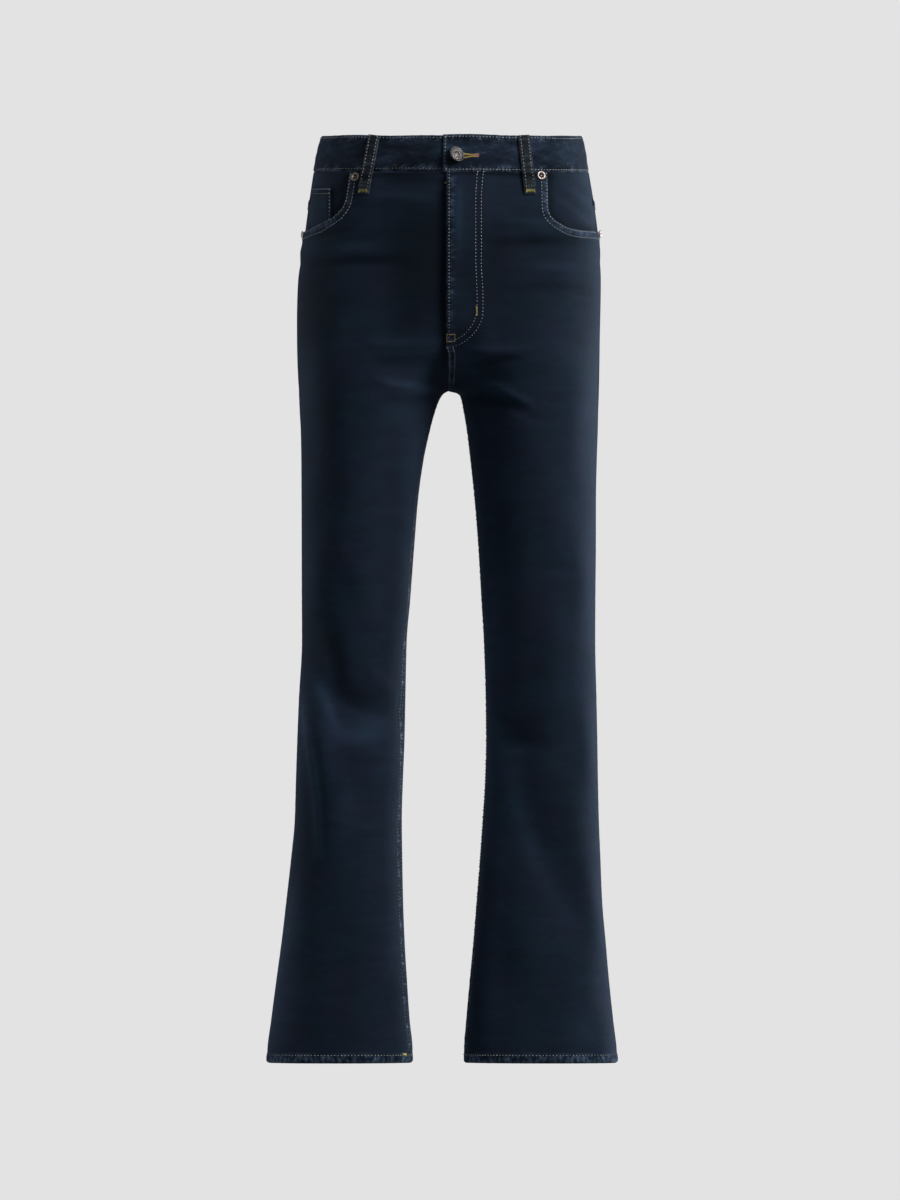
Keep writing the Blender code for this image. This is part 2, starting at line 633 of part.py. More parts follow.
def coin_pocket(look):
    """The small pocket on the wearer's right facing, down to where the front covers it."""
    edge_x, edge_z = edge_curve("right", EDGE_SAMPLES)
    across = np.linspace(COIN_X[0], COIN_X[1], 5)
    rows = []
    for part in np.linspace(0.0, 1.0, 5):
        top = np.interp(across, COIN_X, COIN_TOP)
        low = np.interp(across, edge_x, edge_z) - POCKET_MARGIN / 2
        height = top + (low - top) * part
        places = [fraction_at("right", "front", z, x) for x, z in zip(across, height)]
        rows.append(spot("right", "front", height, np.array(places)))
    points = np.stack(rows)
    facing = normals("right", points)
    outer = points + facing * (fold_lift("right", points) + COIN_WALL + LAYER_GAP)[..., None]
    return sheet("coin_pocket", outer, facing, COIN_WALL, look, "right")


def fly_shield(look):
    """The piece under the fly, level with the right front."""
    rows = []
    for base in np.linspace(PANEL_TOP, SHIELD_BOTTOM, STRIP_ROWS):
        distance = np.linspace(SEAM_GAP / 2, SHIELD_WIDTH, 5)
        part = np.array([fraction_at("left", "front", base, x) for x in distance])
        flat = spot("left", "front", np.full_like(part, base), part)
        rows.append(spot("left", "front", level(base, flat[:, 1]), part))
    points = np.stack(rows)
    return sheet("fly_shield", points, normals("left", points), WALL, look)


def zip_strip(look):
    """The closed zip between the fly and its shield, as a plain strip."""
    rows = []
    top = PANEL_TOP - ZIP_DROP
    for base in np.linspace(top, ZIP_BOTTOM, STRIP_ROWS):
        part = np.array([fraction_at("left", "front", base, x) for x in np.linspace(*ZIP_SIDE, 3)])
        flat = spot("left", "front", np.full_like(part, base), part)
        rows.append(spot("left", "front", level(base, flat[:, 1]), part))
    points = np.stack(rows)
    facing = normals("left", points)
    return sheet("zip", points + facing * (LAYER_GAP + ZIP_WALL), facing, ZIP_WALL, look)


def back_pocket(half, look):
    """A plain patch pocket with a shallow point, on the back."""
    share = np.linspace(0.0, 1.0, 9)
    rows = []
    for part in np.linspace(0.0, 1.0, 8):
        left = BACK_POCKET_X[0] + BACK_POCKET_TAPER * part
        right = BACK_POCKET_X[1] - BACK_POCKET_TAPER * part
        across = left + (right - left) * share
        top = BACK_POCKET_TOP[0] + (BACK_POCKET_TOP[1] - BACK_POCKET_TOP[0]) * share
        point = 1.0 - np.abs(2.0 * share - 1.0)
        deep = BACK_POCKET_SIDE_DEPTH + (BACK_POCKET_POINT_DEPTH - BACK_POCKET_SIDE_DEPTH) * point
        height = top - deep * part
        places = [fraction_at(half, "back", z, x) for x, z in zip(across, height)]
        rows.append(spot(half, "back", height, np.array(places)))
    points = np.stack(rows)
    facing = normals(half, points)
    return sheet("back_pocket_" + half, points + facing * (WALL + LAYER_GAP), facing, WALL, look, half)


def band_place(distance, base):
    """Point and direction of the band's own line, at distances along it from the centre front."""
    lengths = {}
    for half in SIGN:
        for face in ("front", "back"):
            lengths[half, face] = float(dense_row(half, face, np.array([base]))[2][0, -1])
    order = (("left", "front"), ("left", "back"), ("right", "back"), ("right", "front"))
    girth = sum(lengths.values())
    points = []
    ways = []
    for place in distance:
        place = place % girth
        for half, face in order:
            if place <= lengths[half, face] or (half, face) == order[-1]:
                break
            place -= lengths[half, face]
        part = place / lengths[half, face]
        part = 1.0 - part if (half, face) in (order[1], order[3]) else part
        flat = spot(half, face, np.array([base]), np.array([part]))
        here = spot(half, face, level(base, flat[:, 1]), np.array([part]))
        way = normals(half, here)[0]
        points.append(here[0] * (SIGN[half], 1.0, 1.0))
        ways.append(way * (SIGN[half], 1.0, 1.0))
    return np.array(points), np.array(ways), girth


def waistband(look):
    """One strip round the waist. Its left end lies over its right end at the centre front."""
    girth = band_place([], -BAND_HEIGHT / 2)[2]
    middle = np.linspace(BAND_MIDDLE[0], girth - BAND_MIDDLE[1], BAND_MIDDLE_COLUMNS)
    places = np.concatenate([BAND_NEAR, middle, girth + np.array(BAND_FAR)])
    lift = BAND_STANDOFF + BAND_OVER_LIFT * (1.0 - smooth_step(places, *BAND_RISE_AT))
    lift -= BAND_UNDER_SINK * smooth_step(places - girth, *BAND_SINK_AT)
    rows = []
    ways = []
    for base in (0.0, -BAND_HEIGHT / 2, -BAND_HEIGHT):
        points, way, _ = band_place(places, base)
        rows.append(points + way * lift[:, None])
        ways.append(way)
    return sheet("waistband", np.stack(rows), np.stack(ways), BAND_WALL, look)


def belt_loop(name, half, face, top_x, bottom_x, look):
    """A narrow strip over the waistband, standing off it except at its two ends."""
    centre = []
    facing = []
    for part in np.linspace(0.0, 1.0, 9):
        base = LOOP_BOTTOM * part + LOOP_RISE * (1.0 - part)
        distance = top_x + (bottom_x - top_x) * part
        place = max(fraction_at(half, face, min(base, 0.0), distance), 0.0) if top_x else 0.0
        flat = spot(half, face, np.array([base]), np.array([place]))
        here = spot(half, face, level(base, flat[:, 1]), np.array([place]))
        way = normals(half, here)[0]
        if not top_x:
            here[0, 0] = 0.0
            way = np.array((0.0, way[1], way[2]))
        way = way / np.linalg.norm(way)
        below_band = smooth_step(-here[0, 2] - BAND_HEIGHT, *LOOP_BELOW_BAND)
        under = front_lift(half, here)[0] * below_band if face == "front" else 0.0
        clear = max(BAND_STANDOFF * (1.0 - below_band), under) + LAYER_GAP + LOOP_WALL
        raised = min(max((part - LOOP_STANDS[0]) / (LOOP_STANDS[1] - LOOP_STANDS[0]), 0.0), 1.0)
        bulge = LOOP_STANDOFF * math.sin(math.pi * raised) ** 0.5
        centre.append(here[0] + way * (clear + bulge))
        facing.append(way)
    centre = np.array(centre)
    facing = np.array(facing)
    along = np.gradient(centre, axis=0)
    side = np.cross(facing, along)
    side /= np.linalg.norm(side, axis=1, keepdims=True)
    rows = [centre + side * offset for offset in np.linspace(-LOOP_WIDTH / 2, LOOP_WIDTH / 2, 3)]
    outer = np.stack(rows, axis=1)
    return sheet(name, outer, np.repeat(facing[:, None], 3, axis=1), LOOP_WALL, look, half)


def turned(name, profile, place, way, look, sides):
    """A solid turned from a profile of (radius, height) pairs, standing at a place along a way."""
    points = [(0.0, 0.0, profile[0][1])]
    for radius, height in profile:
        for step in range(sides):
            angle = 2 * math.pi * step / sides
            points.append((radius * math.cos(angle), radius * math.sin(angle), height))
    points.append((0.0, 0.0, profile[-1][1]))
    faces = []
    last = len(points) - 1
    for step in range(sides):
        after = (step + 1) % sides
        faces.append((0, 1 + after, 1 + step))
        faces.append((last, last - sides + step, last - sides + after))
        for ring in range(len(profile) - 1):
            a = 1 + ring * sides
            faces.append((a + step, a + after, a + sides + after, a + sides + step))
    made = solid(name, np.array(points), faces, look)
    made.rotation_mode = "QUATERNION"
    made.rotation_quaternion = Vector((0.0, 0.0, 1.0)).rotation_difference(Vector(way))
    made.location = place
    return made


def place_on(half, face, distance, base, lift):
    """A place and a direction on the cloth, moved out by lift."""
    part = fraction_at(half, face, base, distance)
    here = spot(half, face, np.array([base]), np.array([part]))
    way = normals(half, here)[0] * (SIGN[half], 1.0, 1.0)
    return here[0] * (SIGN[half], 1.0, 1.0) + way * lift, way


def button(look):
    """A shank button with a rolled rim, seated on the waistband."""
    seat = BAND_STANDOFF + BAND_OVER_LIFT + SEAM_GAP
    place, way = place_on("left", "front", BUTTON_X, BUTTON_Z, seat)
    return turned("button", BUTTON_PROFILE, place, way, look, BUTTON_SIDES)


def rivet(name, half, distance, height, look):
    """A flat ring with a dimple and a small nub."""
    cloth = front_lift(half, np.array([[distance, 0.0, height]]))[0]
    place, way = place_on(half, "front", distance, height, cloth + LAYER_GAP)
    return turned(name, RIVET_PROFILE, place, way, look, RIVET_SIDES)


def side_rivet(name, half, height, look):
    """The rivet at the lower end of a pocket opening, in profile on the outline."""
    outer = column(OUTLINE, half + "_outer", height)
    middle = column(DEPTH, "middle", height)
    lift = POCKET_LIFT + SEAM_GAP
    place = np.array((SIGN[half] * (float(outer) + lift), float(middle) - SIDE_RIVET_FORWARD, height))
    way = np.array((SIGN[half], SIDE_RIVET_LEAN, 0.0))
    return turned(name, SIDE_RIVET_PROFILE, place, way / np.linalg.norm(way), look, SIDE_RIVET_SIDES)


def main():
    for old in list(bpy.data.objects):
        bpy.data.objects.remove(old, do_unlink=True)
    for half in SIGN:
        front_panel(half, DENIM)
        back_panel(half, DENIM)
        yoke(half, DENIM)
        pocket_facing(half, DENIM)
        back_pocket(half, DENIM)
    coin_pocket(DENIM)
    fly_shield(DENIM)
    zip_strip(TAPE)
    waistband(DENIM)
    for row in LOOPS:
        loop = dict(zip(LOOP_COLUMNS, row))
        belt_loop(loop["name"], loop["half"], loop["face"], loop["top_x"], loop["bottom_x"], DENIM)
    button(STEEL)
    for half, (distance, height) in RIVETS.items():
        rivet("rivet_" + half, half, distance, height, COPPER)
        side_rivet("rivet_side_" + half, half, SIDE_RIVETS[half], COPPER)


main()
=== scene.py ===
"""Looks of the high-rise bootcut jeans: dark indigo stretch denim with tonal and gold sewing.

Metres, +Z up, the front faces -Y and the wearer's left is +X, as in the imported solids. Every cloth piece is
a thin shell on the form of its solid: the same round sections, worked out finely, with creases, rolled
edges and puckers on them. Threads are laid on the finished cloth.
"""

import json
import math

import bpy
import numpy as np
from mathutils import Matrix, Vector
from mathutils.bvhtree import BVHTree
from mathutils.kdtree import KDTree

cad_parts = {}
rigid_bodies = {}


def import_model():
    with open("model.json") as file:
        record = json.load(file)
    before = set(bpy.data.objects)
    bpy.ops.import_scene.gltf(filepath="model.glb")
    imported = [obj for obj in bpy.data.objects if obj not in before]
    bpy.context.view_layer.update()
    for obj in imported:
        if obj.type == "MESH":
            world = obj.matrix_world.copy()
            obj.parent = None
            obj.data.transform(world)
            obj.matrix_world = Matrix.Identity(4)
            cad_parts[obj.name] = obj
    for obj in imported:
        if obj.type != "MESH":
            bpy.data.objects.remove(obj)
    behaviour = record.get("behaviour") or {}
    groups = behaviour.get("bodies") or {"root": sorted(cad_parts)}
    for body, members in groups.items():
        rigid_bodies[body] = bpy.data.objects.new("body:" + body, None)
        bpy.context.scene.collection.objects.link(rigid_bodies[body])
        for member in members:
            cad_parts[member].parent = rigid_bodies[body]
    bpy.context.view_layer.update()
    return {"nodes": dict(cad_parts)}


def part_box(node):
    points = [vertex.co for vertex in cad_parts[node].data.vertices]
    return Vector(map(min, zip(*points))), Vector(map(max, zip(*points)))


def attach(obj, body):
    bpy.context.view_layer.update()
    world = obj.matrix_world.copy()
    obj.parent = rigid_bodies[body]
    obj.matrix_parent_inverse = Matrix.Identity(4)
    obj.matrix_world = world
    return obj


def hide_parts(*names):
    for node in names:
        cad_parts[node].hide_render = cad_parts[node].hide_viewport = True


# Cloth and seams, as in the solids but for the hem, which is drawn 0.6 mm lower
WALL = 0.0013
BAND_WALL = 0.0024
HEM_WALL = 0.0027
LOOP_WALL = 0.0016
COIN_WALL = 0.0010
SEAM_GAP = 0.0003
LAYER_GAP = 0.0007
ZIP_WALL = 0.0010
BAND_HEIGHT = 0.0410
PANEL_TOP = -BAND_HEIGHT - SEAM_GAP
CROTCH = -0.2900
HEM = -1.0510
HEM_TURN = 0.0090
BLEND = 0.0200
SIDE_SEAM = math.radians(172.0)
LEG_RADIUS = 0.0600

# How far a level line of the cloth rises towards the back, in metres for each metre. The hem is drawn a
# little steeper than in the solids
TILT = {
    "height": (0.02, -0.050, -0.160, -0.850, -1.050),
    "rise": (0.08, 0.08, 0.0, 0.0, -0.067),
}

# Outline of each half from the front, as in the solids
OUTLINE = {
    "height": (
        0.020, 0.000, -0.016, -0.039, -0.084, -0.120, -0.141, -0.163, -0.186, -0.209,
        -0.232, -0.254, -0.270, -0.280, -0.290, -0.292, -0.295, -0.313, -0.334, -0.368,
        -0.413, -0.459, -0.527, -0.572, -0.640, -0.686, -0.731, -0.776, -0.822, -0.867,
        -0.913, -0.958, -1.003, -1.037, -1.060,
    ),
    "right_outer": (
        0.1385, 0.1434, 0.1480, 0.1524, 0.1592, 0.1640, 0.1673, 0.1705, 0.1716, 0.1720,
        0.1719, 0.1715, 0.1708, 0.1703, 0.1696, 0.1696, 0.1695, 0.1687, 0.1675, 0.1668,
        0.1665, 0.1663, 0.1661, 0.1659, 0.1695, 0.1714, 0.1730, 0.1744, 0.1788, 0.1839,
        0.1892, 0.1953, 0.2011, 0.2054, 0.2062,
    ),
    "right_reach": (
        -0.1385, -0.1434, -0.1480, -0.1500, -0.1480, -0.1380, -0.1200, -0.0980, -0.0720, -0.0490,
        -0.0280, -0.0090, 0.0100, 0.0165, 0.0200, 0.0206, 0.0215, 0.0251, 0.0289, 0.0345,
        0.0397, 0.0430, 0.0476, 0.0511, 0.0526, 0.0535, 0.0552, 0.0564, 0.0559, 0.0551,
        0.0535, 0.0510, 0.0482, 0.0452, 0.0456,
    ),
    "left_outer": (
        0.1468, 0.1517, 0.1556, 0.1590, 0.1665, 0.1708, 0.1722, 0.1733, 0.1731, 0.1726,
        0.1721, 0.1718, 0.1715, 0.1713, 0.1710, 0.1710, 0.1709, 0.1702, 0.1697, 0.1685,
        0.1675, 0.1674, 0.1668, 0.1666, 0.1681, 0.1691, 0.1699, 0.1710, 0.1729, 0.1747,
        0.1786, 0.1825, 0.1872, 0.1912, 0.1924,
    ),
    "left_reach": (
        -0.1468, -0.1517, -0.1556, -0.1560, -0.1520, -0.1400, -0.1210, -0.0980, -0.0720, -0.0490,
        -0.0280, -0.0090, 0.0100, 0.0165, 0.0200, 0.0231, 0.0243, 0.0268, 0.0292, 0.0323,
        0.0362, 0.0394, 0.0429, 0.0453, 0.0472, 0.0475, 0.0465, 0.0440, 0.0411, 0.0380,
        0.0349, 0.0315, 0.0285, 0.0268, 0.0268,
    ),
}

# Depth of the body from the side, as in the solids
DEPTH = {
    "height": (
        0.020, 0.000, -0.050, -0.100, -0.150, -0.200, -0.245, -0.290, -0.340, -0.400,
        -0.460, -0.530, -0.600, -0.660, -0.720, -0.780, -0.860, -0.940, -1.060,
    ),
    "front": (
        -0.090, -0.093, -0.100, -0.105, -0.108, -0.109, -0.107, -0.101, -0.094, -0.087,
        -0.081, -0.075, -0.069, -0.063, -0.058, -0.055, -0.054, -0.056, -0.061,
    ),
    "back": (
        0.092, 0.095, 0.106, 0.119, 0.129, 0.133, 0.128, 0.112, 0.096, 0.084,
        0.075, 0.065, 0.058, 0.056, 0.061, 0.066, 0.067, 0.064, 0.060,
    ),
    "middle": (
        0.000, 0.000, 0.001, 0.004, 0.007, 0.008, 0.008, 0.006, 0.001, -0.003,
        -0.005, -0.006, -0.006, -0.004, 0.000, 0.004, 0.006, 0.004, 0.000,
    ),
    "fullness": (
        2.25, 2.25, 2.25, 2.25, 2.25, 2.20, 2.15, 2.10, 2.10, 2.10,
        2.10, 2.10, 2.10, 2.10, 2.10, 2.10, 2.15, 2.15, 2.20,
    ),
}

# Angle of each leg's inseam towards the front, in degrees: less than in the solids, on the same surface
INSEAM = {
    "height": (-0.290, -0.320, -0.420, -0.600, -0.760, -0.880, -1.060),
    "right": (0.0, 4.0, 8.0, 12.0, 13.0, 13.0, 12.0),
    "left": (0.0, -2.0, -4.0, -4.0, 0.0, 3.0, 6.0),
}

# Free edge of each pocket opening
POCKET_EDGE = {
    "right": {
        "x": (0.1095, 0.1106, 0.1141, 0.1215, 0.1318, 0.1432, 0.1604, 0.1660),
        "z": (-0.0470, -0.0566, -0.0797, -0.0935, -0.1009, -0.1061, -0.1113, -0.1124),
    },
    "left": {
        "x": (0.1103, 0.1105, 0.1112, 0.1148, 0.1245, 0.1368, 0.1489, 0.1690),
        "z": (-0.0470, -0.0563, -0.0879, -0.0977, -0.1050, -0.1099, -0.1110, -0.1104),
    },
}
POCKET_LIFT = WALL + LAYER_GAP
POCKET_CLEAR = 0.008
POCKET_FADE = 0.032
COIN_LIFT = 2 * WALL + 2 * LAYER_GAP
COIN_LIFT_FROM = (0.101, 0.125)
COIN_LIFT_DEPTH = (-0.026, -0.010)
POCKET_MARGIN = 0.012
POCKET_ROW_CENTRE = -0.134
POCKET_ROW_SIDE = -0.1124
SETTLED = -0.218
EDGE_SWEEP = 1.5

# Fly, waistband, yoke and patch pockets, as in the solids. The loops are drawn 2 mm wider than their solids,
# and the loops and the button stand up to 2 mm from where the solids do, as in the photo
FLY_LIFT = 2 * LAYER_GAP + ZIP_WALL + WALL
FLY_BOTTOM = -0.243
FLY_RUN_OUT = 0.024
FLY_OVERLAP = 0.0020
FLY_OVERLAP_TO = 0.030
FLY_OVERLAP_END = 0.006
FLY_FLAT_TO = 0.034
FLY_FADE_TO = 0.060
SHIELD_WIDTH = 0.033
SHIELD_BOTTOM = -0.232
BAND_STANDOFF = 0.0009
BAND_OVER_END = 0.0050
BAND_UNDER_END = 0.0260
BAND_OVER_LIFT = 0.0020
BAND_UNDER_SINK = 0.0012
BAND_OVER_TO = (0.034, 0.066)
BAND_UNDER_FROM = (0.030, 0.006)
BAND_DRAWN_IN = {"right": 0.0008, "left": 0.0014}
LOOP_WIDTH = 0.0136
# Each loop's node, half and face, and how far from the middle its upper and lower ends are
LOOPS = (
    ("loop_front_right", "right", "front", 0.0812, 0.0934),
    ("loop_front_left", "left", "front", 0.0828, 0.0899),
    ("loop_side_right", "right", "back", 0.1240, 0.1290),
    ("loop_side_left", "left", "back", 0.1290, 0.1340),
    ("loop_back", "left", "back", 0.0000, 0.0000),
)
LOOP_BOTTOM = -0.0665
LOOP_RISE = -0.0006
LOOP_STANDOFF = 0.0012
LOOP_LENGTH = 0.070
LOOP_LANDS = (0.004, 0.012)
LOOP_TUCK = 0.0006
LOOP_ROLL = 0.0006
LOOP_ROW_DIP = 0.00035
YOKE_CENTRE = -0.118
YOKE_SIDE = -0.082
YOKE_SWEEP = 0.9
BACK_LEVEL = -0.162
BACK_POCKET_X = (0.022, 0.142)
BACK_POCKET_TOP = (-0.132, -0.122)
BACK_POCKET_SIDE_DEPTH = 0.108
BACK_POCKET_POINT_DEPTH = 0.130
BACK_POCKET_TAPER = 0.011
# Lengths on the cloth for each one seen from behind: at a patch's inner side, outer side and foot
PATCH_STRETCH = (1.05, 1.25, 0.95)
PATCH_PUFF = 0.0010
PATCH_TOP_ROWS = (0.0025, 0.0125)
COIN_X = (0.1310, 0.1530)
COIN_TOP = (-0.0640, -0.0618)
BUTTON_X = 0.0098
BUTTON_Z = -0.0284
RIVETS = {"right": (0.1035, -0.0535), "left": (0.1032, -0.0519)}
SIGN = {"right": -1.0, "left": 1.0}

# Sewing: how far rows lie from their edges, and the sizes of stitches, threads and the buttonhole
ROW_ONE = 0.0017
ROW_TWO = 0.0078
STITCH_PITCH = 0.0038
THREAD = 0.00095
STITCH_LENGTH = 0.0018
# HOLE is the size of the black grains that paint the shade in the stitch holes
HOLE = 0.0012
INSEAM_ROW = 0.0095
LOOP_ROW = 0.0024
BAND_TOP_ROW = 0.0025
BAND_LOW_ROW = 0.0026
HOLE_START = 0.0165
HOLE_END = 0.0300
HOLE_TACK_END = 0.0356
HOLE_STEP = 0.00052
HOLE_Z = -0.0289
HOLE_SLIT = (0.0002, 0.0013)
HOLE_REACH = (0.0018, 0.0016)
HOLE_TACK_HALF = 0.0026
AHEAD = -0.110
THREAD_LIFT = 0.00012
FINE_THREAD = 0.0006
LONGEST_ROW = 100.0
UNEVEN_STITCH = (0.84, 1.10)
# A belt loop's tack: its shares across and down, length and width, turns of thread, and whether it's upright
LOOP_TACK = (0.5, 0.95, 0.0098, 0.0034, 9, False)

# Camera, floor and backdrop
CAMERA_DISTANCE = 6.0
CAMERA_PLACE = (0.00193, -CAMERA_DISTANCE, -0.52664)
VIEW_HEIGHT = 1.362
FLOOR = -1.25
BACKDROP = 9.5
FLOOR_FRONT = -10.0
FLOOR_SIDE = 8.0
BACKDROP_TOP = 3.0
STUDIO_GREY = 0.768
ROOM_STRENGTH = 0.20
SENSOR = 36.0

# Lights: place, size, power and colour. All are aimed at the same point
LIGHTS = {
    "edge_light_right": ((2.0, 1.50, -0.4), (0.8, 2.4), 62.0, (0.97, 0.98, 1.0)),
    "soft_light_right": ((2.08, -1.46, 1.09), (1.2, 1.2), 69.0, (1.0, 0.98, 0.96)),
    "edge_light_left": ((-2.2, 0.95, -0.4), (1.0, 2.4), 20.0, (1.0, 0.98, 0.96)),
}
LIGHT_AIM = (0.0, 0.0, -0.5)

# Gathers beside a sewn edge: how far they reach, the wave length along it, the height and the phase. The
# waistband's phase changes down it
GATHERS = {
    "pocket": (0.012, 0.0085, 0.00030, 0.0),
    "side": (0.007, 0.0110, 0.00022, 1.0),
    "fly": (0.016, 0.0125, 0.00050, 0.4),
    "inseam": (0.012, 0.0058, 0.00045, 2.0),
    "hem": (0.0055, 0.0105, 0.00040, 0.7),
    "centre_back": (0.010, 0.0120, 0.00030, 2.0),
    "yoke": (0.010, 0.0110, 0.00028, 0.8),
    "coin": (0.008, 0.0070, 0.00018, 0.0),
    "patch": (0.010, 0.0105, 0.00024, 0.0),
    "loop": (0.005, 0.0075, 0.00022, 0.0),
    "band": (0.009, 0.0100, 0.00034),
}

# How strongly each seam gathers the cloth: the most, how far from the seam that is, and its width. Above the
# crotch the inseam's line is the fly's, which keeps a share of it
ROPES = {
    "pocket": (0.50, 0.0045, 0.0035),
    "inseam": (1.60, 0.0052, 0.0042),
    "side": (0.25, 0.0010, 0.0035),
    "centre_back": (0.50, 0.0030, 0.0050),
    "yoke": (0.60, 0.0047, 0.0035),
    "coin": (0.50, 0.0040, 0.0035),
    "patch": (0.60, 0.0045, 0.0040),
    "band": (0.70, 0.0030, 0.0045),
    "loop": (0.80, 0.0036, 0.0030),
}
ROPE_ABOVE_CROTCH = {"right": 0.0, "left": 0.5 / 1.6}

# How rubbed each edge is: the most, how far from the edge that is, and its width. The place of the
# waistband's end is along the strip, from the centre front
WEARS = {
    "pocket": (0.90, 0.0, 0.0020),
    "fly": (0.80, 0.0, 0.0018),
    "fly_row": (0.25, 0.0045, 0.0030),
    "yoke": (0.70, 0.0, 0.0018),
    "centre_back": (0.40, 0.0, 0.0018),
    "coin_top": (0.80, 0.0, 0.0016),
    "coin_side": (0.60, 0.0, 0.0014),
    "patch": (0.70, 0.0, 0.0018),
    "band": (0.80, 0.0, 0.0016),
    "band_end": (0.80, -BAND_OVER_END, 0.0026),
    "loop": (0.90, 0.0, 0.0012),
    "hem": (1.00, 0.0, 0.0024),
    "hem_ridge": (0.45, HEM_TURN + 0.0006, 0.0014),
}

# Cloth worn all over beside an edge: how much, and between which distances that ends
POCKET_WORN = (0.42, 0.0070, 0.0090)
BAND_WORN = (0.35, 0.0028, 0.0042)

# A hem's relief: the dips at its sewing and its fold and its thickness. Then how strongly its cloth is
# gathered, and between which heights that ends
HEM_ROW_DIP = 0.00035
HEM_FOLD_DIP = 0.0005
HEM_THICK = 0.0004
HEM_ROPE = 0.8
HEM_ROPE_END = (0.0075, 0.0110)

# A hem's pale streaks: their wave length and the two that make it uneven, their least and how much they add,
# and between which heights they end
STREAK_WAVES = (0.0043, 0.023, 0.0095)
STREAK_WEAR = (0.12, 0.75)
STREAK_END = (0.0065, 0.0085)

# Relief of a folded edge: its thickness and how far past the second row that ends, then the height and the
# width of the puff between its rows, of the dip at each row and of the roll at the edge
EDGE_THICK = (0.0005, 0.0030)
EDGE_PUFF = (0.00035, 0.0022)
EDGE_DIP = (0.00028, 0.0009)
EDGE_ROLL = (0.0007, 0.0008)

# Dips where a front meets the waistband and a back its yoke: height and width
TOP_DIP = (0.0006, 0.0030)
YOKE_DIP = (0.0005, 0.0016)

# The fly's placket, which stands out between its sewing and its fold: its height, how far from the fold that
# is, its width, and between which depths it starts and ends
PLACKET = (0.0026, 0.0090, 0.0130)
PLACKET_STARTS = (0.050, 0.075)
PLACKET_ENDS = (0.190, 0.235)
SIDE_GATHERS_FROM = (0.115, 0.125)
CROTCH_BLEND = 0.004

# A piece's cut edge, in shares of its wall: how far its faces are drawn in and how far its rim stands out
RIM_ROUND = 0.22
RIM_REACH = 0.34

# How finely the pieces are divided: rows down a pocket's edge and points along its line, steps down a panel
# and rows on its hem, rows under the yoke, and rows and columns of the small pieces
EDGE_ROWS = 57
EDGE_POINTS = 200
FRONT_STEP = 0.0026
FRONT_HEM_ROWS = 12
BACK_STEP = 0.0034
BACK_HEM_ROWS = 10
YOKE_ROWS = 24
FACING_GRID = (46, 44)
COIN_GRID = (40, 26)
SHIELD_GRID = (48, 12)
LOOP_GRID = (56, 15)

# Grids of the pieces: the length they cross, how far their fine steps reach from each end, and the fine and
# the coarse steps
GRIDS = {
    "front": (0.230, 0.012, 0.0011, 0.0026),
    "back": (0.270, 0.010, 0.0016, 0.0034),
    "yoke": (0.240, 0.010, 0.0016, 0.0030),
    "yoke_down": (0.060, 0.010, 0.0014, 0.0030),
    "patch": (0.110, 0.010, 0.0013, 0.0028),
    "patch_down": (0.120, 0.010, 0.0013, 0.0028),
    "band_down": (BAND_HEIGHT, 0.006, 0.0010, 0.0016),
}

# The facing behind a pocket opening: its waves' lengths across and down and their height, between which
# depths they begin, how far it lies under the plain form, and the painted shade beside the opening's edge
FACING_WAVES = (0.030, 0.021, 0.00035)
FACING_WAVES_FROM = (0.050, 0.070)
FACING_SUNK = 0.0003
FACING_SHADE = (-0.75, 0.002, 0.013)

# The waistband's steps along it: where they change, in metres from each end, and how fine they are there
BAND_FINE_TO = 0.060
BAND_FINE_STEP = 0.0014
BAND_MIDDLE_TO = 0.030
BAND_END_FROM = 0.0285
BAND_STEPS = (330, 30)

# Heights of the waistband's relief: the dips at its sewing, the roll of its edges, its puff and its blotches
BAND_ROW_DIP = 0.00035
BAND_ROLL = 0.0008
BAND_PUFF = 0.0004
BAND_BLOTCH = 0.00042

# How the waistband's upper edge sags: lengths, phases and heights of its waves. Then its rises, as heights
# and the distances from the strip's right end between which they begin: the first lifts the upper edge, the
# others the lower one
BAND_SAGS = ((0.034, 1.0, 0.0006), (0.013, 0.0, 0.00025))
BAND_RISES = ((0.0005, 0.100, 0.050), (0.0012, 0.175, 0.125), (0.0005, 0.060, 0.030))

# Metal, turned from radii and heights above its seat
BUTTON_PROFILE = (
    (0.0030, -0.0060), (0.0030, -0.0018), (0.0082, -0.0016), (0.0092, -0.0010), (0.0095, -0.0002),
    (0.0094, 0.0006), (0.0088, 0.0011), (0.0081, 0.0010), (0.0076, 0.0006), (0.0072, 0.0002),
    (0.0064, 0.0003), (0.0057, 0.0007), (0.0049, 0.0007), (0.0044, 0.0003), (0.0034, 0.0004),
    (0.0025, 0.0009), (0.0013, 0.0012), (0.0004, 0.0013),
)
BUTTON_RIPPLE = (0.0,) * 10 + (0.00012, 0.00026, 0.00026, 0.00012) + (0.0,) * 4
BUTTON_RAISED = 0.0050
BUTTON_LEAN = (0.575, 0.0, 0.270)
BUTTON_UPRIGHT = 0.79
RIPPLES = 12
RIVET_PROFILE = (
    (0.0046, -0.0010), (0.0051, 0.0003), (0.0051, 0.0008), (0.0047, 0.0012), (0.0040, 0.0014),
    (0.0032, 0.0013), (0.0026, 0.0009), (0.0022, -0.0003), (0.0016, -0.0007), (0.0011, -0.0004),
    (0.0009, 0.0007), (0.0006, 0.0012), (0.0002, 0.0013),
)
SIDE_RIVET_PROFILE = (
    (0.0042, 0.0000), (0.0043, 0.0004), (0.0040, 0.0009), (0.0032, 0.0013), (0.0024, 0.0013),
    (0.0018, 0.0012), (0.0012, 0.0018), (0.0005, 0.0021), (0.0002, 0.0021),
)
RIVET_RAISED = 0.0001
SIDE_RIVET_FORWARD = -0.28
SIDE_RIVET_SUNK = 0.0010

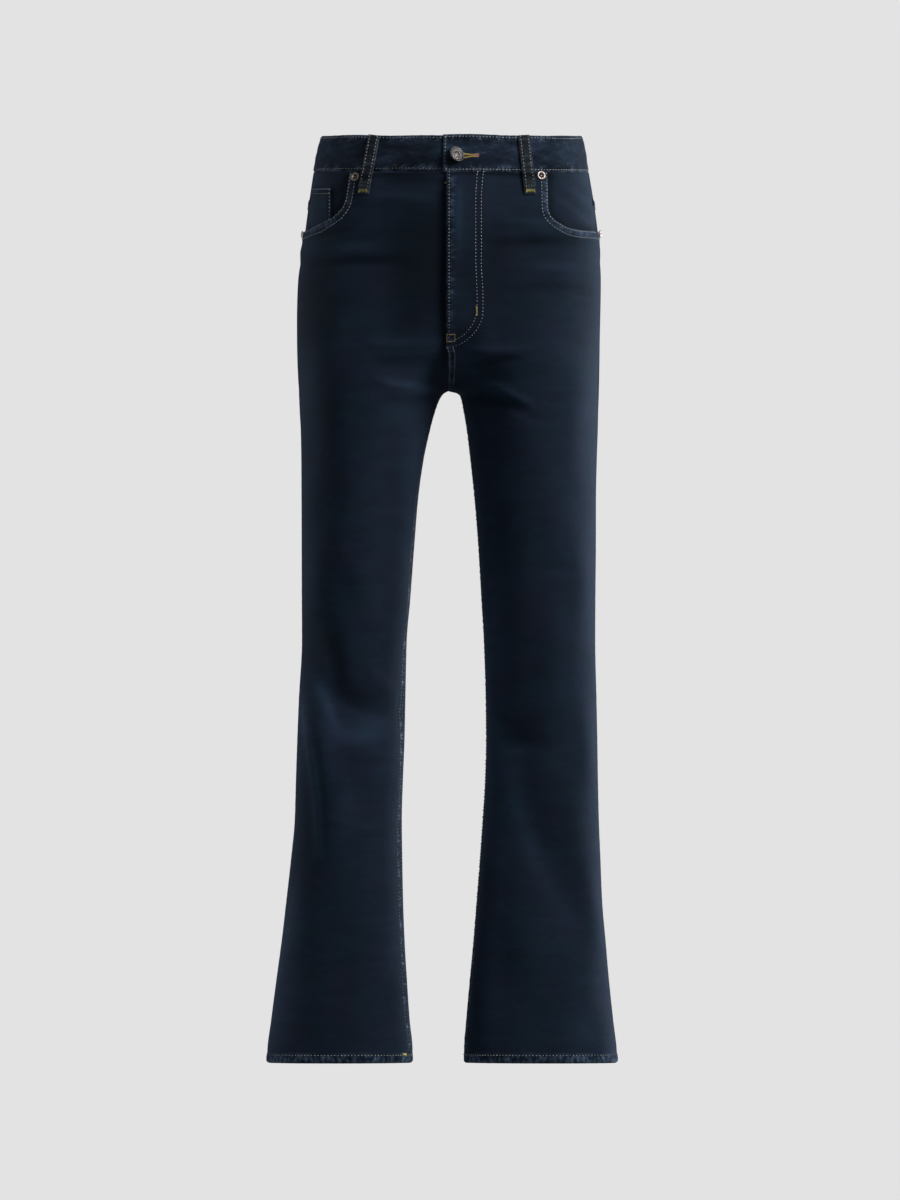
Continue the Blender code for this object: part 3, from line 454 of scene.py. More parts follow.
# Materials of the cloth: colour, worn colour, mottling, relief and sheen
DENIMS = (
    ("denim_outside", (0.0112, 0.0200, 0.0366), (0.060, 0.092, 0.145), 0.36, 0.45, 0.15),
    ("denim_inside", (0.105, 0.125, 0.160), (0.15, 0.17, 0.21), 0.35, 0.40, 0.15),
    ("denim_waistband", (0.0118, 0.0195, 0.0345), (0.078, 0.105, 0.155), 2.00, 0.60, 0.15),
    ("denim_loops", (0.0165, 0.0215, 0.0265), (0.075, 0.090, 0.115), 1.00, 0.50, 0.20),
)

# Threads: colour and its darkest
THREADS = (
    ("pale_thread", (0.600, 0.640, 0.660), (0.270, 0.300, 0.325)),
    ("gold_thread", (0.740, 0.670, 0.200), (0.420, 0.370, 0.110)),
    ("ochre_thread", (0.560, 0.420, 0.090), (0.260, 0.170, 0.040)),
    ("copper_thread", (0.440, 0.240, 0.190), (0.240, 0.110, 0.080)),
    ("dim_thread", (0.250, 0.262, 0.275), (0.090, 0.096, 0.108)),
    # The black one is no thread but painted shade: grains in the stitch holes and lines in the buttonhole's
    # slit
    ("painted_shade_black", (0.006, 0.006, 0.008), (0.004, 0.004, 0.005)),
)

# Metals: colour, its dullest and roughness
METALS = (
    ("button_steel", (0.175, 0.168, 0.168), (0.060, 0.058, 0.058), 0.40),
    ("aged_bronze", (0.40, 0.36, 0.31), (0.16, 0.14, 0.12), 0.40),
    ("rosy_nickel", (0.52, 0.44, 0.42), (0.20, 0.160, 0.150), 0.36),
)

# The fly's two rows of sewing and the places of its tacks, as distances from the middle and heights
FLY_OUTER = (
    (0.0387, -0.0440), (0.0362, -0.0810), (0.0362, -0.1478), (0.0383, -0.1880), (0.0385, -0.2070),
    (0.0350, -0.2200), (0.0270, -0.2310), (0.0150, -0.2390), (0.0000, -0.2430),
)
FLY_INNER = (
    (0.0325, -0.0440), (0.0301, -0.0810), (0.0303, -0.1478), (0.0320, -0.1812), (0.0325, -0.2020),
    (0.0290, -0.2160), (0.0200, -0.2280), (0.0100, -0.2340), (0.0000, -0.2364),
)

# Short gold tacks on the fronts: the way each runs, its place, length and width, and its turns of thread
SMALL_TACKS = (
    ("left", (0.0, 0.0, 1.0), (0.0322, -0.2042), 0.0100, 0.0016, 9),
    ("right", (1.0, 0.0, 0.0), (0.0496, -1.0397), 0.0120, 0.0028, 9),
    ("right", (1.0, 0.0, 0.3), (0.0026, -0.0608), 0.0026, 0.0018, 3),
)
FLY_BOX = ((0.0002, -0.2281), (0.0076, -0.2281), (0.0076, -0.2354), (0.0002, -0.2354))
FLY_EDGE_ROW = 0.0029

# The main folds of each half's face, in millimetres: each bends from a start through a middle to an end, as
# distances from the middle plane and heights. It is a ridge, or a trough where its height is negative. Its
# tone is painted light where above zero and painted shade where below, with some fading of the cloth mixed in
FOLD_COLUMNS = ("x1", "z1", "x2", "z2", "x3", "z3", "width", "height", "painted_light_and_fade")
FOLDS = {
    ("right", "front"): (
        (71, -58, 40, -58, 9, -58, 5.5, -1.6, -0.55),
        (93, -77, 56, -77, 18, -79, 6, 1.8, 0.35),
        (36, -85, 36, -150, 36, -235, 34, 0, -1.05),
        (18, -80, 18, -150, 16, -235, 6, 0, -0.22),
        (190, -850, 193, -900, 196, -960, 10, 0, 0.45),
        (193, -960, 194, -990, 195, -1030, 12, 0, 0.26),
        (163, -150, 166, -195, 168, -235, 10, 0, -0.38),
        (166, -530, 166, -567, 166, -600, 12, 0, -0.45),
        (166, -630, 166, -656, 166, -690, 12, 0, 0.22),
        (139, -590, 139, -640, 138, -720, 14, 0, 0.24),
        (100, -31, 112, -31, 130, -31, 14, 0, -0.3),
        (32, -280, 32, -299, 32, -320, 12, 0, -0.25),
        (58, -940, 58, -969, 58, -1000, 10, 0, -0.28),
        (20, -13, 45, -13, 75, -13, 4, 0, 0.22),
        (16, -20, 40, -20, 75, -20, 2.2, 0, -0.35),
        (24, -28, 36, -26, 50, -29, 3.5, 0, 0.3),
        (160, -150, 164, -190, 166, -250, 12, 0, -0.35),
        (139, -120, 139, -250, 139, -380, 14, 0, -0.22),
        (112, -195, 112, -235, 112, -275, 16, 0, 0.3),
        (20, -31, 40, -31, 65, -31, 16, 0, -0.4),
        (118, -60, 118, -85, 116, -100, 10, 0, -0.5),
        (139, -600, 139, -660, 137, -720, 14, 0, 0.42),
        (163, -625, 163, -650, 163, -680, 10, 0, 0.35),
        (112, -880, 112, -960, 112, -1050, 22, 0, -0.22),
        (47, -640, 53, -770, 50, -1030, 4.5, 0, -0.3),
        (70, -690, 71, -730, 70, -780, 11, 0, 0.24),
        (68, -880, 66, -930, 64, -950, 9, 0, 0.12),
        (150, -150, 152, -190, 155, -240, 18, 0, -0.35),
        (7, -55, 8, -150, 4, -292, 5, 0, -0.7),
        (160, -116, 135, -117, 110, -114, 5, -1.4, -0.3),
        (160, -134, 115, -136, 80, -134, 6.5, 2.4, 0.35),
        (154, -151, 100, -150, 50, -150, 6.5, -2.4, -0.35),
        (88, -239, 50, -241, 8, -238, 6, 2.4, 0.3),
        (84, -262, 48, -262, 8, -258, 6.5, -2.8, -0.45),
        (80, -281, 50, -287, 18, -286, 5.5, 2.8, 0.45),
        (76, -303, 50, -301, 20, -298, 6, -2.6, -0.45),
        (58, -340, 60, -600, 58, -900, 14, 0, -0.3),
        (126, -460, 102, -500, 82, -549, 16, 2.2, 0),
        (132, -555, 124, -590, 115, -627, 10, 0, -0.35),
        (156, -570, 122, -634, 59, -652, 20, -5.2, 0),
        (121, -632, 90, -636, 60, -632, 14, 0, -0.25),
        (122, -640, 90, -653, 56, -652, 7, -1.4, 0),
        (136, -672, 105, -678, 68, -668, 18, 0, 0.75),
        (90, -600, 78, -616, 62, -628, 9, 2.2, 0),
        (154, -605, 140, -640, 126, -672, 8, 1, 0.6),
        (166, -644, 152, -716, 146, -817, 5, 2.2, 0.45),
        (158, -640, 143, -716, 138, -817, 5, 0, -0.3),
        (128, -700, 122, -745, 118, -800, 22, 0, 0.4),
        (174, -860, 181, -950, 190, -1035, 16, 0, 0.62),
        (4, -49, 60, -50.3, 120, -53.8, 2.6, 0, -1.1),
    ),
    ("right", "back"): (
        (43, -480, 52, -750, 46, -1000, 8, 0, 0.6),
        (20, -272, 70, -262, 120, -268, 9, -2.2, -0.3),
        (30, -300, 80, -292, 130, -300, 9, 2.2, 0.3),
        (140, -580, 110, -600, 70, -600, 13, -3.4, -0.3),
        (146, -620, 112, -634, 72, -630, 13, 3.2, 0.3),
        (136, -650, 110, -680, 84, -740, 14, -3, -0.25),
    ),
    ("left", "front"): (
        (4, -49.7, 60, -50.3, 120, -53.2, 2.4, 0, -1.2),
        (-4, -10, -4, -25, -4, -44, 3.5, 0, 0.45),
        (60, -90, 85, -160, 85, -235, 55, 0, -0.45),
        (49, -105, 49, -160, 49, -220, 15, 0, -0.42),
        (4, -245, 14, -254, 30, -256, 10, 0, 0.24),
        (22, -140, 22, -165, 22, -190, 10, 0, -0.33),
        (22, -198, 22, -210, 22, -222, 9, 0, 0.22),
        (22, -325, 22, -344, 24, -365, 14, 0, 0.28),
        (49, -500, 49, -545, 49, -590, 14, 0, 0.2),
        (49, -890, 48, -970, 47, -1045, 14, 0, 0.3),
        (156, -145, 156, -165, 156, -190, 12, 0, -0.28),
        (156, -985, 158, -1013, 160, -1040, 16, 0, 0.3),
        (156, -145, 156, -220, 155, -300, 12, 0, -0.28),
        (50, -500, 56, -720, 46, -1040, 14, 0, 0.34),
        (76, -630, 76, -690, 76, -760, 13, 0, 0.28),
        (13, -62, 12, -105, 14, -150, 5, 0, 0.5),
        (10, -115, 12, -140, 12, -170, 12, 0, -0.35),
        (56, -104, 80, -105, 108, -106, 6, 2, 0.3),
        (46, -130, 105, -126, 158, -124, 7, -3.4, -0.7),
        (90, -157, 125, -155, 162, -157, 7, 2.6, 0.25),
        (72, -183, 115, -178, 162, -182, 6.5, -2.4, -0.25),
        (22, -246, 58, -249, 94, -244, 6, 2.6, 0.35),
        (22, -262, 50, -261, 78, -258, 6, -2.4, -0.3),
        (26, -281, 56, -290, 88, -306, 5.5, 3, 0.45),
        (22, -300, 58, -306, 94, -320, 6.5, -2.6, -0.4),
        (6, -250, 20, -262, 40, -270, 18, 0, 0.35),
        (46, -330, 52, -600, 50, -900, 16, 0, 0.3),
        (105, -440, 104, -580, 104, -720, 18, 0, -0.22),
        (47, -676, 80, -688, 116, -690, 12, -2.6, 0),
        (58, -655, 82, -665, 108, -660, 14, 0, -0.3),
        (58, -688, 85, -785, 135, -890, 12, 0, 0.35),
        (80, -700, 102, -806, 142, -886, 24, -6, 0),
        (128, -728, 138, -800, 150, -870, 15, 0, -0.4),
    ),
    ("left", "back"): (
        (22, -270, 72, -260, 124, -270, 9, -2.2, -0.3),
        (32, -297, 80, -290, 128, -298, 9, 2.2, 0.3),
        (142, -590, 108, -606, 66, -596, 13, -3.4, -0.3),
        (146, -622, 110, -640, 70, -632, 13, 3.2, 0.3),
        (134, -660, 108, -700, 80, -760, 14, -3, -0.25),
    ),
}
FOLD_POINTS = 17
OTHER = {"right": "left", "left": "right"}
CENTRE_REACH = 0.006
NO_ROPE = (0.0, 0.0, 0.0)

# Long low swells in the cloth: wave lengths across and down, phase and height
SWELLS = (
    (0.110, 0.170, 0.3, 0.00050),
    (0.073, -0.230, 1.9, 0.00040),
    (0.150, 0.095, 4.1, 0.00035),
    (0.052, 0.140, 2.6, 0.00022),
)
SWELL_TURNS = {"right": 0.9, "left": 0.0, "front": 0.0, "back": 2.2}
SWELL_DEPTH = 0.2

# Between which depths below the waist the swells begin, and distances from the body's middle the folds do
SWELLS_FROM = (0.10, 0.20)
FOLDS_FROM = (0.004, 0.030)

FORM_TOP = 0.030
FORM_STEP = 0.001
FORM_ROWS = 1096
FORM_COLUMNS = 301
ROW_SAMPLES = 401
ROW_CROWDING = 1.4


def smooth_step(value, low, high):
    """0 below low, 1 above high, and an S curve between."""
    part = np.clip((np.asarray(value, float) - low) / (high - low), 0.0, 1.0)
    return part * part * (3.0 - 2.0 * part)


def fall(value, low, high):
    """1 below low, 0 above high, and an S curve between."""
    return 1.0 - smooth_step(value, low, high)


def bump(value, middle, width):
    """A soft hump of height 1."""
    return np.exp(-(((np.asarray(value, float) - middle) / width) ** 2))


def column(table, name, height):
    """A table's column at any height, through a smooth curve that never overshoots its rows."""
    knots = -np.asarray(table["height"], float)
    values = np.asarray(table[name], float)
    steps = np.diff(knots)
    rates = np.diff(values) / steps
    slopes = np.empty_like(values)
    slopes[0] = rates[0]
    slopes[-1] = rates[-1]
    before, after = rates[:-1], rates[1:]
    same_way = before * after > 0
    total = np.where(same_way, before + after, 1.0)
    slopes[1:-1] = np.where(same_way, 2.0 * before * after / total, 0.0)
    where = np.clip(-np.asarray(height, float), knots[0], knots[-1])
    index = np.clip(np.searchsorted(knots, where) - 1, 0, len(steps) - 1)
    step = steps[index]
    part = (where - knots[index]) / step
    start = values[index] * (1 + 2 * part) * (1 - part) ** 2
    end = values[index + 1] * part**2 * (3 - 2 * part)
    leave = slopes[index] * step * part * (1 - part) ** 2
    arrive = slopes[index + 1] * step * part**2 * (part - 1)
    return start + end + leave + arrive


def section(half, height):
    """Centre, half width, front and back depth, middle and exponent of a half's round section."""
    outer = np.hypot(column(OUTLINE, half + "_outer", height), BLEND)
    reach = column(OUTLINE, half + "_reach", height)
    middle = column(DEPTH, "middle", height)
    front = middle - column(DEPTH, "front", height)
    back = column(DEPTH, "back", height) - middle
    return (outer + reach) / 2, (outer - reach) / 2, front, back, middle, column(DEPTH, "fullness", height)


def level(base, depth):
    """Height of the level line that passes the side of the body at base, where the cloth is at depth."""
    return base + column(TILT, "rise", base) * depth


def start_turn(half, face, height):
    """Angle at which a panel starts: the centre seam above the crotch, the inseam below it."""
    centre, width, _, _, _, power = section(half, height)
    edge = np.hypot(SEAM_GAP / 2, BLEND)
    cut = np.clip((centre - edge) / width, -1.0, 1.0)
    seam = np.arccos(np.sign(cut) * np.abs(cut) ** (power / 2))
    inseam = np.radians(column({"height": INSEAM["height"], "turn": INSEAM[half]}, "turn", height))
    below = np.asarray(height) < CROTCH
    margin = SEAM_GAP / 2 / LEG_RADIUS
    if face == "front":
        return np.where(below, inseam + margin, np.maximum(seam, margin))
    return np.where(below, inseam - margin, -np.maximum(seam, margin))


def form_of(half, face):
    """Places of one half's face on even heights and even shares of each row, and each row's length."""
    height = FORM_TOP - FORM_STEP * np.arange(FORM_ROWS)
    share = np.linspace(0.0, 1.0, ROW_SAMPLES) ** ROW_CROWDING
    centre, width, front, back, middle, power = (part[:, None] for part in section(half, height))
    first = start_turn(half, face, height)[:, None]
    margin = SEAM_GAP / 2 / width
    last = SIDE_SEAM - margin if face == "front" else SIDE_SEAM - 2 * math.pi + margin
    turn = first + (last - first) * share
    across, along = np.cos(turn), np.sin(turn)
    bend = centre - width * np.sign(across) * np.abs(across) ** (2 / power)
    x = np.sqrt(np.maximum(bend**2 - BLEND**2, 0.0))
    y = middle + np.where(along > 0, -front, back) * np.abs(along) ** (2 / power)
    length = np.cumsum(np.hypot(np.diff(x), np.diff(y)), axis=1)
    length = np.concatenate([np.zeros((FORM_ROWS, 1)), length], axis=1)
    even = np.linspace(0.0, 1.0, FORM_COLUMNS)
    places = np.empty((FORM_ROWS, FORM_COLUMNS, 2))
    for row in range(FORM_ROWS):
        goal = even * length[row, -1]
        places[row, :, 0] = np.interp(goal, length[row], x[row])
        places[row, :, 1] = np.interp(goal, length[row], y[row])
    return {"places": places, "length": length[:, -1]}


FORM = {(half, face): form_of(half, face) for half in SIGN for face in ("front", "back")}


def row_length(half, face, height):
    """Length of a row of the cloth at a height, from its seam to the side."""
    place = (FORM_TOP - np.asarray(height, float)) / FORM_STEP
    return np.interp(place, np.arange(FORM_ROWS), FORM[half, face]["length"])


def spot(half, face, height, fraction):
    """Points of the plain form at heights and fractions of the way from the seam to the side."""
    height, fraction = np.broadcast_arrays(np.asarray(height, float), np.asarray(fraction, float))
    places = FORM[half, face]["places"]
    down = np.clip((FORM_TOP - height) / FORM_STEP, 0.0, FORM_ROWS - 1.001)
    along = np.clip(fraction, 0.0, 1.0) * (FORM_COLUMNS - 1.001)
    row, place = down.astype(int), along.astype(int)
    lower, further = (down - row)[..., None], (along - place)[..., None]
    near = places[row, place] * (1 - further) + places[row, place + 1] * further
    next_row = places[row + 1, place] * (1 - further) + places[row + 1, place + 1] * further
    flat = near * (1 - lower) + next_row * lower
    return np.stack([flat[..., 0], flat[..., 1], height], axis=-1)


def fraction_at(half, face, height, distance):
    """Fractions of the way round at which the cloth is at distances from the middle plane."""
    height, distance = np.broadcast_arrays(np.asarray(height, float), np.asarray(distance, float))
    places = FORM[half, face]["places"][..., 0]
    rows = np.clip(np.round((FORM_TOP - height) / FORM_STEP).astype(int), 0, FORM_ROWS - 1)
    out = np.empty(height.shape)
    even = np.linspace(0.0, 1.0, FORM_COLUMNS)
    for index in np.ndindex(height.shape):
        line = places[rows[index]]
        widest = int(np.argmax(line)) + 1
        out[index] = np.interp(distance[index], line[:widest], even[:widest])
    return out


def outside(half, points):
    """A value that grows outwards through the cloth, for points of one half."""
    centre, width, front, back, middle, power = section(half, points[..., 2])
    bend = np.hypot(points[..., 0], BLEND)
    depth = points[..., 1] - middle
    side = np.where(depth < 0, front, back)
    return np.abs((bend - centre) / width) ** power + np.abs(depth / side) ** power


def normals(half, points):
    """Outward directions of the cloth at its points."""
    step = 0.0004
    slope = np.empty_like(points)
    for axis in range(3):
        shift = np.zeros(3)
        shift[axis] = step
        slope[..., axis] = outside(half, points + shift) - outside(half, points - shift)
    return slope / np.linalg.norm(slope, axis=-1, keepdims=True)


def front_depth(half, x, z):
    """Depth of the front's plain form at distances from the middle plane and heights."""
    centre, width, front, _, middle, power = section(half, z)
    across = np.clip(np.abs((np.hypot(x, BLEND) - centre) / width), 0.0, 1.0)
    return middle - front * (1.0 - across**power) ** (1 / power)


def own_side(half, points):
    """Points of a half, moved to its own side of the body."""
    return points * (SIGN[half], 1.0, 1.0)


def edge_curve(half, count):
    """Points of the pocket's free edge, evenly spaced on the cloth."""
    x = np.asarray(POCKET_EDGE[half]["x"])
    z = np.asarray(POCKET_EDGE[half]["z"])
    length = np.concatenate([[0.0], np.cumsum(np.hypot(np.diff(x), np.diff(z)))])
    fine = np.linspace(0.0, length[-1], 400)
    rounded = [column({"height": -length, "value": values}, "value", -fine) for values in (x, z)]
    steps = np.diff(np.stack([*rounded, front_depth(half, *rounded)]), axis=1)
    length = np.concatenate([[0.0], np.cumsum(np.linalg.norm(steps, axis=0))])
    even = np.linspace(0.0, length[-1], count)
    return np.interp(even, length, rounded[0]), np.interp(even, length, rounded[1])


def nearest(points, line):
    """Distance of each point from a line of points, and how far along the line its nearest point is."""
    tree = KDTree(len(line))
    for index, place in enumerate(line):
        tree.insert(place, index)
    tree.balance()
    length = np.concatenate([[0.0], np.cumsum(np.linalg.norm(np.diff(line, axis=0), axis=1))])
    flat = points.reshape(-1, 3)
    found = [tree.find(point) for point in flat]
    distance = np.array([hit[2] for hit in found]).reshape(points.shape[:-1])
    along = length[np.array([hit[1] for hit in found])].reshape(points.shape[:-1])
    return distance, along


def folded(half, face, points, name):
    """Sum of one column of the folds of a half's face, at its points."""
    total = np.zeros(points.shape[:-1])
    flat = points[..., [0, 2]]
    steps = np.linspace(0.0, 1.0, FOLD_POINTS)[:, None]
    for *lengths, painted_light_and_fade in FOLDS[half, face]:
        fold = dict(zip(FOLD_COLUMNS, (*(length / 1000 for length in lengths), painted_light_and_fade)))
        if not fold[name]:
            continue
        start, middle, end = (np.array((fold["x" + n], fold["z" + n])) for n in "123")
        turn = 2 * middle - (start + end) / 2
        line = (1 - steps) ** 2 * start + 2 * steps * (1 - steps) * turn + steps**2 * end
        reach = 3 * fold["width"]
        near = ((flat > line.min(axis=0) - reach) & (flat < line.max(axis=0) + reach)).all(axis=-1)
        close = flat[near]
        best = np.full(len(close), 1.0)
        part = np.zeros(len(close))
        for index in range(len(line) - 1):
            way = line[index + 1] - line[index]
            along = np.clip((close - line[index]) @ way / (way @ way), 0.0, 1.0)
            gap = np.linalg.norm(close - line[index] - along[:, None] * way, axis=1)
            part = np.where(gap < best, (index + along) / (len(line) - 1), part)
            best = np.minimum(best, gap)
        ends = 0.35 + 0.65 * np.sin(math.pi * part) ** 0.7
        total[near] += fold[name] * ends * bump(best, 0.0, fold["width"])
    return total


def painted_light_of(half, points):
    """Painted light and shade of the folds, with some fading of the cloth: the logarithm of its share of the
    plain colour.
    """
    painted_light_and_fade = np.zeros(len(points))
    across = points[:, 0] < -CENTRE_REACH
    front = points[:, 1] < section(half, points[:, 2])[4]
    for own, crossed in ((half, False), (OTHER[half], True)):
        for face, ahead in (("front", True), ("back", False)):
            here = (across == crossed) & (front == ahead)
            painted_light_and_fade[here] = folded(own, face, points[here] * (-1.0 if crossed else 1.0, 1.0, 1.0), "painted_light_and_fade")
    return painted_light_and_fade


def crease_lift(half, face, points):
    """Height of the folds and the low swells over the plain form."""
    lift = folded(half, face, points, "height")
    turn = SWELL_TURNS[half] + SWELL_TURNS[face]
    calm = smooth_step(-points[..., 2], *SWELLS_FROM)
    for across, down, phase, height in SWELLS:
        wave = 2 * math.pi * (points[..., 0] / across + points[..., 1] / SWELL_DEPTH + points[..., 2] / down)
        lift += height * calm * np.sin(wave + phase + turn)
    middle = section(half, points[..., 2])[4]
    away = (middle - points[..., 1]) * (1 if face == "front" else -1)
    return lift * smooth_step(away, *FOLDS_FROM)


def front_lift(half, points):
    """How far a front stands off the plain form over its pocket facing and over the fly."""
    line = np.stack(edge_curve(half, EDGE_POINTS), axis=1)
    away = np.full(points.shape[:-1], 1.0)
    for x, z in line:
        away = np.minimum(away, np.hypot(points[..., 0] - x, points[..., 2] - z))
    full = POCKET_LIFT
    if half == "right":
        coin = smooth_step(points[..., 0], *COIN_LIFT_FROM)
        coin = coin * fall(points[..., 1], *COIN_LIFT_DEPTH)
        full = POCKET_LIFT + (COIN_LIFT - POCKET_LIFT) * coin
    lift = full * fall(away, POCKET_MARGIN + POCKET_CLEAR, POCKET_MARGIN + POCKET_FADE)
    if half == "left":
        near = fall(points[..., 0], FLY_FLAT_TO, FLY_FADE_TO)
        above = smooth_step(points[..., 2], FLY_BOTTOM - FLY_RUN_OUT, FLY_BOTTOM)
        lift = np.maximum(lift, FLY_LIFT * near * above)
    return lift


def pucker(distance, along, reach, wave, height, phase):
    """Small gathers beside a sewn edge, uneven along it."""
    turn = 2 * math.pi * along / wave
    uneven = 0.6 + 0.4 * np.sin(turn / 5.3 + phase)
    ripple = np.sin(turn + 1.4 * np.sin(turn / 3.7 + phase) + phase)
    return height * uneven * ripple * np.exp(-((distance / reach) ** 2))


def folded_edge(distance):
    """Relief of a folded edge under two rows of sewing: rolled at the edge, dipped at each row."""
    height, past = EDGE_THICK
    thick = height * fall(distance, ROW_TWO, ROW_TWO + past)
    height, width = EDGE_PUFF
    puff = height * bump(distance, (ROW_ONE + ROW_TWO) / 2, width)
    height, width = EDGE_DIP
    dips = height * (bump(distance, ROW_ONE, width) + bump(distance, ROW_TWO, width))
    height, width = EDGE_ROLL
    return thick + puff - dips - height * bump(distance, 0.0, width)


def hem_wear(up, along):
    """Wear of a turned-up hem: its fold rubbed, and pale upright streaks up to its sewing."""
    turn = 2 * math.pi * along
    wave, slow, quick = STREAK_WAVES
    streaks = 0.5 + 0.5 * np.sin(turn / wave + 1.8 * np.sin(turn / slow) + 1.1 * np.sin(turn / quick))
    least, more = STREAK_WEAR
    shown = (least + more * streaks**2) * fall(up, *STREAK_END)
    return worn("hem", up) + worn("hem_ridge", up) + shown


def hem_relief(up, along):
    """Relief of a turned-up hem: dips at its sewing and its fold, gathers between, and its thickness."""
    dips = -HEM_ROW_DIP * bump(up, HEM_TURN - 0.001, 0.0012) - HEM_FOLD_DIP * bump(up, 0.0, 0.0010)
    gathers = pucker(np.abs(up - HEM_TURN / 2), along + up * 0.9, *GATHERS["hem"])
    return dips + gathers + HEM_THICK * fall(up, HEM_TURN, HEM_TURN + 0.002)


def strength(name, distance):
    """How strongly a seam gathers the cloth at distances from it."""
    most, middle, width = ROPES[name]
    return most * bump(distance, middle, width)


def worn(name, distance):
    """How rubbed an edge is at distances from it."""
    most, middle, width = WEARS[name]
    return most * bump(distance, middle, width)


def worn_beside(distance, most, low, high):
    """Wear that is even beside an edge and ends between two distances from it."""
    return most * fall(distance, low, high)


def hem_strength(up):
    """How strongly a hem's cloth is gathered, at heights above its fold."""
    return HEM_ROPE * fall(up, *HEM_ROPE_END)


def roped(*seams):
    """The strongest gathered seam at each point: how far off it is, the place along it and its strength."""
    every = np.stack([np.stack(np.broadcast_arrays(*seam), axis=-1) for seam in seams])
    best = np.argmax(every[..., 2], axis=0)
    return np.take_along_axis(every, best[None, ..., None], axis=0)[0]


def crowded(total, edge, fine, coarse):
    """Shares of a row of that length: fine steps beside both ends and coarse ones between."""
    near = np.arange(0.0, edge, fine)
    middle = np.linspace(edge, total - edge, max(2, round((total - 2 * edge) / coarse)) + 1)
    return np.concatenate([near, middle, total - near[::-1]]) / total


def grid_faces(rows, columns):
    """Four-cornered faces of a grid of points, as rows of indices."""
    corner = np.arange((rows - 1) * columns).reshape(rows - 1, columns)[:, :-1].ravel()
    return np.stack([corner, corner + columns, corner + columns + 1, corner + 1], axis=1)


def shell(half, outer, facing, wall, uv, wear, rope, shade=0.0):
    """A thin closed shell from a grid of outer points: the grid, and the shell's mesh, UV and attributes."""
    grid = outer
    rows, columns = outer.shape[:2]
    rope = np.broadcast_to(rope, (rows, columns, 3))
    wall = np.broadcast_to(wall, (rows, columns))[..., None]
    inner = outer - facing * wall
    border = np.zeros((rows, columns), bool)
    border[[0, -1], :] = True
    border[:, [0, -1]] = True
    outer = outer - facing * wall * RIM_ROUND * border[..., None]
    inner = inner + facing * wall * RIM_ROUND * border[..., None]
    edge = [(0, j) for j in range(columns)]
    edge += [(i, columns - 1) for i in range(1, rows)]
    edge += [(rows - 1, j) for j in range(columns - 2, -1, -1)]
    edge += [(i, 0) for i in range(rows - 2, 0, -1)]
    i, j = np.array(edge).T
    back_i, back_j = np.clip(i, 1, rows - 2), np.clip(j, 1, columns - 2)
    away = outer[i, j] - outer[back_i, back_j]
    away /= np.maximum(np.linalg.norm(away, axis=1, keepdims=True), 1e-9)
    rim = (outer[i, j] + inner[i, j]) / 2 + away * wall[i, j] * RIM_REACH
    count = rows * columns
    points = np.concatenate([outer.reshape(-1, 3), inner.reshape(-1, 3), rim])
    faces = grid_faces(rows, columns)
    ring = i * columns + j
    after = np.roll(ring, -1)
    middle = 2 * count + np.arange(len(ring))
    next_middle = np.roll(middle, -1)
    upper = np.stack([ring, after, next_middle, middle], axis=1)
    lower = np.stack([middle, next_middle, after + count, ring + count], axis=1)
    inside = np.concatenate([np.zeros(len(faces)), np.ones(len(faces)), np.zeros(2 * len(ring))])
    every = np.concatenate([faces, faces[:, ::-1] + count, upper, lower])
    side = np.cross(points[faces[:, 1]] - points[faces[:, 0]], points[faces[:, 3]] - points[faces[:, 0]])
    outward = np.sum(side * facing.reshape(-1, 3)[faces[:, 0]]) > 0
    if outward != (SIGN[half] > 0):
        every = every[:, ::-1]
    uv = np.concatenate([uv.reshape(-1, 2), uv.reshape(-1, 2), uv[i, j]])
    # The painted light and shade of the folds, plus any painted shade given for this piece
    painted_light_and_fade = painted_light_of(half, points[:count]) + np.broadcast_to(shade, (rows, columns)).ravel()
    painted_light_and_fade = np.concatenate([painted_light_and_fade, painted_light_and_fade * 0.0, painted_light_and_fade[ring]])
    wear = np.clip(wear, 0.0, 1.0)
    wear = np.concatenate([wear.ravel(), wear.ravel() * 0.0, wear[i, j]])
    rope = np.concatenate([rope.reshape(-1, 3), rope.reshape(-1, 3) * (1.0, 1.0, 0.0), rope[i, j]])
    return {
        "outer": grid, "facing": facing, "points": own_side(half, points), "faces": every, "inside": inside,
        "uv": uv, "wear": wear, "painted_light_and_fade": painted_light_and_fade, "rope": rope,
    }


def placed(name, data):
    """A new object in the scene."""
    made = bpy.data.objects.new(name, data)
    bpy.context.collection.objects.link(made)
    return made


def cloth_object(name, made, materials):
    """A smooth mesh object from a shell's arrays, with its UV map, wear, painted light and shade, and rope.
    """
    mesh = bpy.data.meshes.new(name)
    faces = made["faces"].astype(np.int32)
    mesh.vertices.add(len(made["points"]))
    mesh.vertices.foreach_set("co", made["points"].astype(np.float32).ravel())
    mesh.loops.add(faces.size)
    mesh.loops.foreach_set("vertex_index", faces.ravel())
    mesh.polygons.add(len(faces))
    mesh.polygons.foreach_set("loop_start", np.arange(0, faces.size, 4, dtype=np.int32))
    mesh.polygons.foreach_set("material_index", made["inside"].astype(np.int32))
    mesh.polygons.foreach_set("use_smooth", np.ones(len(faces), bool))
    for material in materials:
        mesh.materials.append(material)
    mesh.update(calc_edges=True)
    layer = mesh.uv_layers.new(name="cloth")
    layer.data.foreach_set("uv", made["uv"][faces.ravel()].astype(np.float32).ravel())
    for label in ("wear", "painted_light_and_fade"):
        mesh.attributes.new(label, "FLOAT", "POINT").data.foreach_set("value", made[label].astype(np.float32))
    rope = mesh.attributes.new("rope", "FLOAT_VECTOR", "POINT")
    rope.data.foreach_set("vector", made["rope"].astype(np.float32).ravel())
    return placed(name, mesh)


def rows_to_hem(start, step, count):
    """Heights of a panel's rows from a start down to the hem, with a count of closer rows on the hem."""
    return np.concatenate([np.arange(start, HEM + 0.0120, -step), np.linspace(HEM + 0.0115, HEM, count)])


